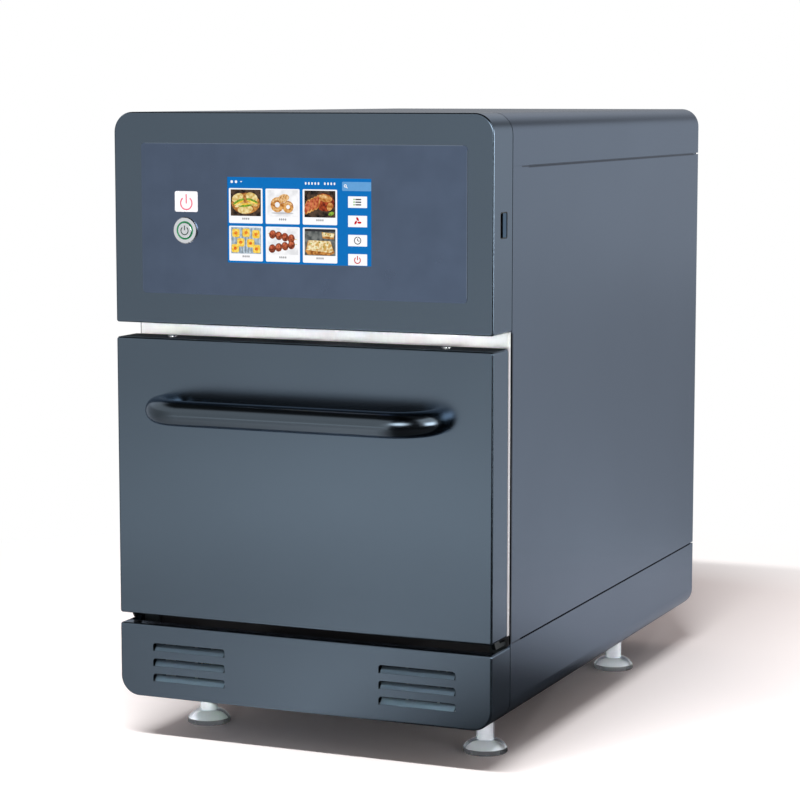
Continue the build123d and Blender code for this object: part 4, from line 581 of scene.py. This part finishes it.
corners = [in_picture(tile, 0, 0) for tile in range(len(tile_places))]
backs = [rounded_rectangle(*corner, picture_width, picture_height, 0.3 * mm, 2) for corner in corners]
picture_back = page_back - 2 * layer
for name, tiles_used, finish in (
    ("pictures_dark", (0, 2), picture_dark),
    ("pictures_white", (1, 4), picture_white),
    ("pictures_blue", (3,), picture_blue),
    ("pictures_slate", (5,), picture_slate),
):
    flat_shapes(name, [backs[tile] for tile in tiles_used], picture_back, layer, finish)

slices = [(3.2 + 3.4 * place, 15.6 - 1.5 * place) for place in range(4)]
cakes = [(5.4, 5.6), (16.4, 5.2), (27, 6.4), (10.6, 14.6), (21.2, 15.2), (4.6, 20.4), (27.6, 20.6)]
chunks = [(5.4 + 6.6 * place, 6.2 + 1.2 * place) for place in range(4)]
chunks += [(5 + 6.8 * place, 19.8 - 1.3 * place) for place in range(4)]
herbs = [(7, 14), (12, 18), (16, 13), (20, 17), (24, 14), (22, 5), (27, 6)]

halves = [blob(0, 7.4, 8, 6.4, 4, 24), blob(0, 22.6, 7, 6.6, 4, -18), blob(0, 15.6, 19, 8.2, 4.2, 6)]
leaves = [blob(0, 8.6, 11.6, 6.4, 1.7, 24), blob(0, 23, 10.8, 6.6, 1.7, -18)]
leaves.append(blob(0, 15.8, 15.2, 7.6, 1.5, 6))
cheese = [blob(0, 9, 12.8, 5.6, 0.8, 24), blob(0, 23.2, 12, 5.8, 0.8, -18), blob(0, 16, 14, 6.6, 0.7, 6)]
rings = [curl(1, 10.6, 14, 2.6, 7.2, 20, 379), curl(1, 22, 16, 2, 5.8, 20, 379)]
shine = [curl(1, 10.6, 14, 4.4, 6.2, 30, 150), curl(1, 22, 16, 3.4, 4.8, 30, 150)]
shine.append(curl(1, 10.6, 14, 4, 5.6, 200, 290))
lines = [strip(1, 14 + 3 * place, 7.4 - 0.5 * place, 4.4, 0.6, 64) for place in range(3)]
squares = [rounded_rectangle(*in_picture(3, x - 4, y - 4), 8 * mm, 8 * mm, 1.8 * mm, 3) for x, y in cakes]
tray_crust = corner_shape(5, ((3.4, 11.4), (0.8, 21.4), (3, 24.6), (27, 24.9), (31.4, 22.6), (27.6, 12.2)))
tray_top = corner_shape(5, ((4.4, 10.8), (1.8, 20.2), (26.8, 22.4), (30.2, 20.6), (27, 11.4)))

dishes = [
    ("bun_board", food_crust, 1, [blob(0, 16.2, 13.2, 15.4, 10.2)]),
    ("bun_halves", food_cream, 2, halves),
    ("bun_leaves", food_leaf, 3, leaves),
    ("bun_cheese", food_custard, 4, cheese),
    ("bun_bases", food_cream, 3, [blob(0, 9.6, 14.6, 5.6, 1.6, 24), blob(0, 23.4, 13.8, 5.6, 1.6, -18)]),
    ("ring_shade", picture_shade, 1, [blob(1, 16, 22, 12, 0.9)]),
    ("glazed_rings", food_golden, 2, rings),
    ("ring_shine", food_shine, 3, shine),
    ("ring_on_top", food_shine, 4, [blob(1, 17.4, 7.6, 6, 3.8, 12)]),
    ("ring_top_crust", food_crust, 5, lines),
    ("roast_joint", food_roast, 1, [blob(2, 21, 11, 10.4, 8.4, -12)]),
    ("roast_crust", food_golden, 2, [blob(2, 21.6, 7, 7.6, 3.6, -12), blob(2, 26.6, 15, 3, 4, -20)]),
    ("roast_shine", food_shine, 3, [blob(2, 20, 5.6, 4.4, 1.4, -12)]),
]
for place, (x, y) in enumerate(slices):
    dishes.append((f"roast_slice_{place}", food_golden, 6 - place, [blob(2, x, y, 3, 7.4, -14)]))
for place, (x, y) in enumerate(slices):
    dishes.append((f"roast_cut_{place}", food_slice, 7 - place, [blob(2, x - 0.4, y, 2, 6.2, -14)]))
dishes += [
    ("roast_greens", food_leaf, 2, [blob(2, 28, 21.6, 3, 1.8, 20)]),
    ("rack_wires", picture_slate, 1, [strip(3, 2 + 3.4 * place, 12.7, 24, 0.5, 90) for place in range(9)]),
    ("cake_squares", food_custard, 2, squares),
    ("cake_fruit", food_orange, 3, [blob(3, x, y, 1.9, 1.6, 20) for x, y in cakes]),
    ("skewer_sticks", food_cream, 1, [strip(4, 16, 8, 31, 0.8, -10), strip(4, 16, 18, 31, 0.8, 11)]),
    ("skewer_chunks", food_chunk, 2, [blob(4, x, y, 3.7, 4.2, 15 * (-1) ** int(x)) for x, y in chunks]),
    ("skewer_glaze", food_slice, 3, [blob(4, x - 0.4, y - 1.2, 2.2, 1.8, 20) for x, y in chunks]),
    ("bake_shadow", screen_ink, 1, [corner_shape(5, ((0.2, 0.2), (0.2, 2.4), (32.2, 2.4), (32.2, 0.2)))]),
    ("bake_crust", food_crust, 2, [tray_crust]),
    ("bake_top", food_cheese, 3, [tray_top]),
    ("bake_piece", food_crust, 3, [corner_shape(5, ((18, 4), (19, 8.8), (30.4, 9.6), (31.6, 5)))]),
    ("bake_piece_top", food_cheese, 4, [corner_shape(5, ((18, 3), (18.8, 7), (30.6, 7.8), (31.4, 4)))]),
    ("bake_herbs", food_leaf, 5, [blob(5, x, y, 0.7, 0.5) for x, y in herbs]),
]
for name, finish, rank, outlines in dishes:
    flat_shapes(name, outlines, picture_back - rank * layer, layer, finish)
print("dish pieces:", len(dishes))

# %% [markdown]
# ## The display's search field, signs and buttons
# Above the tiles are a small sign at the left, a reading in the middle and a pale field at the right.
# Four buttons stand in a column: a list, a fan, a clock and the standby sign. All signs are drawn as thin
# shapes, and the reading is a row of plain bars with no words.

# %% Draw the page's controls
button_left, button_width, button_height, button_step = 127.8 * mm, 19.7 * mm, 10.8 * mm, 18.15 * mm
button_tops = [16.75 * mm + place * button_step for place in range(4)]
field_left, field_top, field_height = 121.7 * mm, 3.2 * mm, 8.5 * mm
field_width = page_width - field_left - 0.1 * mm
button_corners = [on_page(button_left, down) for down in button_tops]
buttons = [rounded_rectangle(*corner, button_width, button_height, 0.3 * mm, 2) for corner in button_corners]
field = rounded_rectangle(*on_page(field_left, field_top), field_width, field_height, 0.9 * mm)
flat_shapes("display_buttons", buttons, page_back - layer, layer, screen_white)
flat_shapes("display_field", [field], page_back - layer, layer, screen_sky)

sign_x = page_left + button_left + button_width / 2
sign_z = [page_top - down - button_height / 2 for down in button_tops]
line_heights = [sign_z[0] + place * 2.5 * mm for place in (-1, 0, 1)]
list_sign = [bar(sign_x + 0.8 * mm, z, 6 * mm, 1.2 * mm) for z in line_heights]
list_dots = [bar(sign_x - 3.6 * mm, z, 1.4 * mm, 1.4 * mm) for z in line_heights]
fan_sign = []
for degrees in (90, 210, 330):
    x = sign_x + 2.2 * mm * math.cos(math.radians(degrees))
    z = sign_z[1] + 2.2 * mm * math.sin(math.radians(degrees))
    fan_sign.append(ellipse(x, z, 2.1 * mm, 1.1 * mm, degrees + 30, 14))
clock_sign = [
    arc_band(sign_x, sign_z[2], 2.9 * mm, 3.7 * mm, 95, 445),
    bar(sign_x, sign_z[2] + 0.9 * mm, 0.8 * mm, 2.4 * mm),
    bar(sign_x + 1.2 * mm, sign_z[2] - 0.4 * mm, 1.6 * mm, 0.8 * mm),
]
standby_sign = power_symbol(sign_x - 0.2 * mm, sign_z[3] - 0.4 * mm, 3 * mm, 0.95 * mm, 0, 4.2 * mm)
finder_x, finder_z = on_page(125 * mm, 7 * mm)
finder_sign = [
    arc_band(finder_x, finder_z, 0.8 * mm, 1.5 * mm, 0, 359, 16),
    slanted_bar(finder_x + 1.6 * mm, finder_z - 1.6 * mm, 1.8 * mm, 0.7 * mm, -45),
]
for name, outlines, finish in (
    ("list_sign", list_sign, screen_ink),
    ("list_dots", list_dots, screen_green),
    ("fan_sign", fan_sign, screen_red),
    ("clock_sign", clock_sign, screen_ink),
    ("standby_sign", standby_sign, screen_red),
    ("finder_sign", finder_sign, screen_white),
):
    flat_shapes(name, outlines, page_back - 2 * layer, layer, finish)

reading_left, reading_step, reading_drop = 83.6 * mm, 3.35 * mm, 5.2 * mm
reading = []
for place in (0, 1, 2, 3, 4, 6, 7, 8, 9):
    x, z = on_page(reading_left + place * reading_step, reading_drop)
    reading.append(bar(x, z, 1.6 * mm, 2.3 * mm))
header = [bar(*on_page(right * mm, 4.6 * mm), 2.4 * mm, 2.4 * mm) for right in (4.8, 9.4)]
header.append([on_page(right * mm, down * mm) for right, down in ((13.7, 4), (14.9, 5.2), (16.1, 4))])
flat_shapes("display_reading", reading, page_back - layer, layer, screen_white)
flat_shapes("display_header_signs", header, page_back - layer, layer, screen_white)
print("controls drawn")

# %% [markdown]
# ## The label's and the button's signs
# The white label carries a pink standby sign and the button a dark one. Both are the standard sign that
# stands on any switch. The button's sign is a piece of the button's own body, so it moves in with it.

# %% Draw the standby signs
label_low, label_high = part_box("power_label")
knob_low, knob_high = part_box("power_button")
label_pink = grained("label_pink", (0.78, 0.17, 0.24), 0.5, 1500, 0.000004)
sign_green = grained("sign_green", (0.03, 0.06, 0.045), 0.45, 1500, 0.000004)
label_x, label_z = (label_low.x + label_high.x) / 2, (label_low.z + label_high.z) / 2
knob_x, knob_z = (knob_low.x + knob_high.x) / 2, (knob_low.z + knob_high.z) / 2
label_sign = power_symbol(label_x, label_z - 1.6 * mm, 6.2 * mm, 1.4 * mm, -0.4 * mm, 8.8 * mm)
knob_sign = power_symbol(knob_x, knob_z - 0.2 * mm, 3.9 * mm, 1.1 * mm, 0.4 * mm, 5 * mm)
flat_shapes("label_sign", label_sign, label_low.y, layer, label_pink)
flat_shapes("knob_sign", knob_sign, knob_low.y, layer, sign_green, "power_button")
print("signs drawn")

# %% [markdown]
# ## Edges that catch the light
# The overlay's cut edge is a little lighter than its face. Beside the door a folded edge of the steel
# front plate faces the side and shines as a thin white line. The socket on the right side has a small
# painted shutter that covers the rear part of its opening. The door's top lies in the hood's shade, which a
# thin dark strip paints on it, and the flaps of the louvres carry thin painted faces.

# %% Add the edges, the shutter and the louvre faces
edge_grey = powder_coat("edge_grey", (0.24, 0.29, 0.36), 0.3, (0.9, 0.95, 1.0))
overlay_middle = (overlay_low + overlay_high) / 2
overlay_size = overlay_high - overlay_low
edge_width, edge_inset, edge_ends = 0.35 * mm, 0.2 * mm, 9 * mm
overlay_edges = [
    bar(overlay_high.x - edge_inset, overlay_middle.z, edge_width, overlay_size.z - edge_ends),
    bar(overlay_middle.x, overlay_high.z - edge_inset, overlay_size.x - edge_ends, edge_width),
]
flat_shapes("overlay_edges", overlay_edges, overlay_low.y, layer, edge_grey)


def block(name, low, high, finish, body="cabinet"):
    """A straight strip of sheet: a plain box between two corners."""
    points = [(x, y, z) for x in (low[0], high[0]) for y in (low[1], high[1]) for z in (low[2], high[2])]
    faces = [(0, 1, 3, 2), (4, 6, 7, 5), (0, 4, 5, 1), (2, 3, 7, 6), (0, 2, 6, 4), (1, 5, 7, 3)]
    return piece_from(name, points, faces, finish, body)


edge_steel = grained("edge_steel", (0.97, 0.97, 1.0), 0.3, 1200, 0.000004, 0.02, Metallic=0.5)
plate_edge_low, plate_edge_high = (0.1984, -0.2682, 0.1318), (0.1996, -0.2634, 0.4232)
block("plate_edge", plate_edge_low, plate_edge_high, edge_steel)
shutter_grey = powder_coat("shutter_grey", (0.07, 0.1, 0.145), 0.3, (0.7, 0.85, 1.0))
shutter_low, shutter_high = (0.1988, -0.285, 0.5134), (0.1996, -0.2744, 0.5376)
block("socket_shutter", shutter_low, shutter_high, shutter_grey)
# A thin dark sheet on the door's top paints the shade that the hood casts there.
door_shade = grained("door_shade", (0.022, 0.03, 0.038), 0.75, 900, 0.00002, Specular_IOR_Level=0.15)
shade_low, shade_high = (-0.1988, -0.3084, 0.4085), (0.1988, -0.2712, 0.4087)
block("door_top_shade", shade_low, shade_high, door_shade, "door")

louvre_paint = grained("louvre_paint", (0.05, 0.075, 0.098), 0.5, 900, 0.000006)
kick_low, kick_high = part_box("kick_panel")
louvre_drop, louvre_pitch, louvre_height = 18.5 * mm, 15.5 * mm, 8 * mm
louvre_middle, face_half_length = 123 * mm, 38.4 * mm
face_front, face_back, face_rise, face_thickness = 0.1 * mm, 5.4 * mm, 5.6 * mm, 0.08 * mm
face_lift = 0.12 * mm
for side, middle in (("left", -louvre_middle), ("right", louvre_middle)):
    for row in range(3):
        low = kick_high.z - louvre_drop - row * louvre_pitch - louvre_height + face_lift
        outline = [
            (kick_low.y + face_front, low),
            (kick_low.y + face_back, low + face_rise),
            (kick_low.y + face_back, low + face_rise + face_thickness),
            (kick_low.y + face_front, low + face_thickness),
        ]
        ends = (middle - face_half_length, middle + face_half_length)
        points = [(x, y, z) for x in ends for y, z in outline]
        faces = [(0, 1, 2, 3), (7, 6, 5, 4), (0, 4, 5, 1), (1, 5, 6, 2), (2, 6, 7, 3), (3, 7, 4, 0)]
        piece_from(f"louvre_face_{side}_{row + 1}", points, faces, louvre_paint)
print("edges, shutter, shade and louvre faces added")

# %% [markdown]
# ## The room in reflections
# The paint and the steel show the studio round the oven, so the studio needs a plan of its own. A white
# tent stands in front and at the left. A dark gap stands where the camera is, and a bright narrow panel at
# the right. Rounded edges show the dark gap as a thin dark line beside the bright panel's light one. There
# are four plans: the walls low down and high up, and two painted on the floor as light that only reflections
# see, the far floor and the floor close to the oven. Each is a list of marks, with the degrees from the
# front, to the right, and the brightness there.

# %% A plan of the studio by direction
def around(tree, vector, stops):
    """Half the brightness of the studio in a direction, from marks of degrees and brightness."""
    split = add_node(tree, "SeparateXYZ")
    ahead = add_node(tree, "Math", operation="MULTIPLY")
    ahead.inputs[1].default_value = -1
    turn = add_node(tree, "Math", operation="ARCTAN2")
    share = add_node(tree, "MapRange", {"From Min": -math.pi, "From Max": math.pi})
    plan = add_node(tree, "ValToRGB")
    tree.links.new(vector, split.inputs["Vector"])
    tree.links.new(split.outputs["Y"], ahead.inputs[0])
    tree.links.new(split.outputs["X"], turn.inputs[0])
    tree.links.new(ahead.outputs["Value"], turn.inputs[1])
    tree.links.new(turn.outputs["Value"], share.inputs["Value"])
    tree.links.new(share.outputs["Result"], plan.inputs["Fac"])
    marks = plan.color_ramp.elements
    marks.remove(marks[1])
    marks[0].color = (stops[0][1] / 2, stops[0][1] / 2, stops[0][1] / 2, 1)
    for degrees, bright in stops[1:]:
        marks.new((degrees + 180) / 360).color = (bright / 2, bright / 2, bright / 2, 1)
    return plan.outputs["Color"]


low_walls = (
    (-180, 0.42), (-120, 0.45), (-60, 0.45), (-30, 0.74), (-9, 0.95), (-3, 1.4), (4, 1.4), (9, 0.03),
    (68, 0.03), (80, 0.8), (87, 9.0), (104, 9.0), (114, 1.1), (134, 1.4), (150, 1.12), (156, 0.98),
    (162, 0.74), (172, 0.5),
)
# Light painted on the far floor, seen only in reflections.
floor_walls = (
    (-180, 0.42), (-120, 0.45), (-60, 0.4), (-30, 0.66), (-9, 0.86), (-3, 1.0), (4, 1.0), (9, 0.03),
    (68, 0.03), (118, 0.2), (144, 0.84), (150, 0.88), (156, 0.7), (162, 0.46), (172, 0.36),
)
high_walls = (
    (-180, 0.7), (-165, 0.7), (-140, 0.3), (-115, 0.8), (4, 0.85), (9, 0.05), (68, 0.05),
    (80, 1.6), (118, 1.6), (130, 0.04), (164, 0.04), (174, 0.6),
)
# Light painted into the near floor's colour, seen only in reflections.
near_floor = ((-180, 0.35), (-60, 0.35), (-32, 0.58), (-8, 0.95), (15, 0.05), (110, 0.1), (136, 0.9))
print("studio plan has", len(low_walls), "marks")

# %% [markdown]
# ## Floor and backdrop
# A packshot stands on a white sweep. The floor gives back more than it gets, so that it looks white to
# the camera while the oven's shadow stays on it, and it fades into the white backdrop beyond the oven.
# Glossy rays see light painted on it: far away an emission that follows the studio's plan, with a painted
# pool of light in front, and close to the oven the plan painted into its colour. The light that bounces up
# on to the oven comes from a plain grey floor, so the oven isn't lit from below.

# %% Make the floor
floor_reach = 6.0
corners = ((-1, -1), (1, -1), (1, 1), (-1, 1))
floor_mesh = bpy.data.meshes.new("floor")
floor_mesh.from_pydata([(x * floor_reach, y * floor_reach, 0) for x, y in corners], [], [(0, 1, 2, 3)])
floor = bpy.data.objects.new("floor", floor_mesh)
bpy.context.collection.objects.link(floor)

sweep = bpy.data.materials.new("white_sweep")
sweep.use_nodes = True
tree = sweep.node_tree
tree.nodes.clear()
rays = add_node(tree, "LightPath")
place = add_node(tree, "TexCoord")
shown = add_node(tree, "BsdfDiffuse", {"Color": (1.12, 1.07, 1.06, 1)})
glossed = add_node(tree, "BsdfDiffuse")
double = add_node(tree, "VectorMath", operation="SCALE")
double.inputs["Scale"].default_value = 2.0
bounced = add_node(tree, "BsdfDiffuse", {"Color": (0.4, 0.4, 0.4, 1)})
beyond = add_node(tree, "Emission", {"Color": (1, 1, 1, 1), "Strength": 1.0})
mirrored = add_node(tree, "Emission", {"Strength": 2.0})
reach = add_node(tree, "VectorMath", operation="LENGTH")
fade = add_node(tree, "MapRange", {"From Min": 0.72, "From Max": 1.1})
# A painted pool of light on the floor in front, seen only in reflections.
painted_pool_middle = (-0.62, -1.85, 0)
apart = add_node(tree, "VectorMath", operation="DISTANCE")
apart.inputs[1].default_value = painted_pool_middle
painted_pool_fade = {"From Min": 0.0, "From Max": 0.85, "To Min": 0.42, "To Max": 0.0}
painted_pool = add_node(tree, "MapRange", painted_pool_fade, interpolation_type="SMOOTHSTEP")
painted_floor_light = add_node(tree, "VectorMath", operation="ADD")
close =add_node(tree, "MixShader")
near = add_node(tree, "MixShader")
far = add_node(tree, "MixShader")
whole = add_node(tree, "MixShader")
surface = add_node(tree, "OutputMaterial")
tree.links.new(place.outputs["Object"], reach.inputs[0])
tree.links.new(place.outputs["Object"], apart.inputs[0])
tree.links.new(apart.outputs["Value"], painted_pool.inputs["Value"])
tree.links.new(around(tree, place.outputs["Object"], floor_walls), painted_floor_light.inputs[0])
tree.links.new(painted_pool.outputs["Result"], painted_floor_light.inputs[1])
tree.links.new(painted_floor_light.outputs["Vector"], mirrored.inputs["Color"])
tree.links.new(around(tree, place.outputs["Object"], near_floor), double.inputs[0])
tree.links.new(double.outputs["Vector"], glossed.inputs["Color"])
tree.links.new(reach.outputs["Value"], fade.inputs["Value"])
tree.links.new(rays.outputs["Is Glossy Ray"], close.inputs["Fac"])
tree.links.new(bounced.outputs["BSDF"], close.inputs[1])
tree.links.new(glossed.outputs["BSDF"], close.inputs[2])
tree.links.new(rays.outputs["Is Camera Ray"], near.inputs["Fac"])
tree.links.new(close.outputs["Shader"], near.inputs[1])
tree.links.new(shown.outputs["BSDF"], near.inputs[2])
tree.links.new(rays.outputs["Is Glossy Ray"], far.inputs["Fac"])
tree.links.new(beyond.outputs["Emission"], far.inputs[1])
tree.links.new(mirrored.outputs["Emission"], far.inputs[2])
tree.links.new(fade.outputs["Result"], whole.inputs["Fac"])
tree.links.new(near.outputs["Shader"], whole.inputs[1])
tree.links.new(far.outputs["Shader"], whole.inputs[2])
tree.links.new(whole.outputs["Shader"], surface.inputs["Surface"])
floor_mesh.materials.append(sweep)
print("floor half side", floor_reach)

# %% [markdown]
# ## Light
# The shadow on the floor has soft sides and a crisp front edge. A lamp that is long across the oven and
# thin from front to back gives both, when it hangs high up in front. Two low panels have a narrow beam:
# one lights the steel in the gap between hood and door, and one the feet. A weak panel stands at the right.
# Reflections come from the world alone, so no lamp shows in them.

# %% Hang the lamps
def hang_panel(name, place, target, width, height, power, beam=180):
    """A rectangular lamp that faces a point, with a beam in degrees, and isn't seen in reflections."""
    lamp = bpy.data.lights.new(name, "AREA")
    lamp.shape = "RECTANGLE"
    lamp.size, lamp.size_y = width, height
    lamp.energy = power
    lamp.spread = math.radians(beam)
    holder = bpy.data.objects.new(name, lamp)
    holder.location = place
    holder.rotation_euler = (Vector(target) - Vector(place)).to_track_quat("-Z", "Y").to_euler()
    holder.visible_glossy = False
    bpy.context.collection.objects.link(holder)


hang_panel("top_strip", (0.3, -5.2, 7.4), (0, 0, 0.1), 5.2, 0.3, 790)
hang_panel("gap_panel", (0.56, -3.3, 0.417), (0.38, -0.3, 0.417), 1.2, 0.05, 0.49, beam=3)
hang_panel("foot_panel", (0.6, -3.2, 0.04), (0.05, -0.2, 0.025), 1.4, 0.05, 0.8, beam=3)
hang_panel("side_panel", (2.6, -1.3, 0.7), (0.2, 0, 0.3), 1.2, 0.8, 5)
print("lamps:", len(bpy.data.lights))

# %% [markdown]
# ## The world
# Diffuse rays get a weak even light, which fills the shadow. Glossy rays see the studio's plans, the high
# one above a set height and a dark ceiling above both, and a small soft box in front, which puts the white
# streak on the handle's bend. Camera and transmission rays see plain white, so the picture's background is
# white.

# %% Paint the world
room = bpy.data.worlds.new("room")
room.use_nodes = True
bpy.context.scene.world = room
tree = room.node_tree
tree.nodes.clear()
rays = add_node(tree, "LightPath")
look = add_node(tree, "TexCoord")
soft = add_node(tree, "Background", {"Color": (1, 0.88, 0.86, 1), "Strength": 0.33})
white = add_node(tree, "Background", {"Color": (1, 1, 1, 1), "Strength": 1.0})
mirrored = add_node(tree, "Background", {"Strength": 2.0})
split = add_node(tree, "SeparateXYZ")
height = add_node(tree, "MapRange", {"From Min": 0.2, "From Max": 0.34})
walls = add_node(tree, "Mix", data_type="RGBA")
soft_box_aim, soft_box_size = (0.4, -0.87, 0.28), (0.44, 0.44, 0.26)
aim = add_node(tree, "VectorMath", operation="SUBTRACT")
aim.inputs[1].default_value = soft_box_aim
shape = add_node(tree, "VectorMath", operation="MULTIPLY")
shape.inputs[1].default_value = [1 / size for size in soft_box_size]
away = add_node(tree, "VectorMath", operation="LENGTH")
soft_box = add_node(tree, "MapRange", {"From Min": 0.2, "From Max": 1.0, "To Min": 4.6, "To Max": 0.0})
lit_walls = add_node(tree, "VectorMath", operation="ADD")
ceiling = add_node(tree, "MapRange", {"From Min": 0.66, "From Max": 0.78, "To Min": 1.0, "To Max": 0.04})
under_ceiling = add_node(tree, "VectorMath", operation="SCALE")
clear = add_node(tree, "Math", operation="MAXIMUM")
pick = add_node(tree, "MixShader")
over = add_node(tree, "MixShader")
sky = add_node(tree, "OutputWorld")
tree.links.new(look.outputs["Generated"], split.inputs["Vector"])
tree.links.new(split.outputs["Z"], height.inputs["Value"])
tree.links.new(height.outputs["Result"], walls.inputs["Factor"])
tree.links.new(around(tree, look.outputs["Generated"], low_walls), walls.inputs[6])
tree.links.new(around(tree, look.outputs["Generated"], high_walls), walls.inputs[7])
tree.links.new(split.outputs["Z"], ceiling.inputs["Value"])
tree.links.new(walls.outputs[2], under_ceiling.inputs[0])
tree.links.new(ceiling.outputs["Result"], under_ceiling.inputs["Scale"])
tree.links.new(look.outputs["Generated"], aim.inputs[0])
tree.links.new(aim.outputs["Vector"], shape.inputs[0])
tree.links.new(shape.outputs["Vector"], away.inputs[0])
tree.links.new(away.outputs["Value"], soft_box.inputs["Value"])
tree.links.new(under_ceiling.outputs["Vector"], lit_walls.inputs[0])
tree.links.new(soft_box.outputs["Result"], lit_walls.inputs[1])
tree.links.new(lit_walls.outputs["Vector"], mirrored.inputs["Color"])
tree.links.new(rays.outputs["Is Camera Ray"], clear.inputs[0])
tree.links.new(rays.outputs["Is Transmission Ray"], clear.inputs[1])
tree.links.new(rays.outputs["Is Glossy Ray"], pick.inputs["Fac"])
tree.links.new(soft.outputs["Background"], pick.inputs[1])
tree.links.new(mirrored.outputs["Background"], pick.inputs[2])
tree.links.new(clear.outputs["Value"], over.inputs["Fac"])
tree.links.new(pick.outputs["Shader"], over.inputs[1])
tree.links.new(white.outputs["Background"], over.inputs[2])
tree.links.new(over.outputs["Shader"], sky.inputs["Surface"])
bpy.context.scene.view_settings.view_transform = "Standard"
print("world ready")
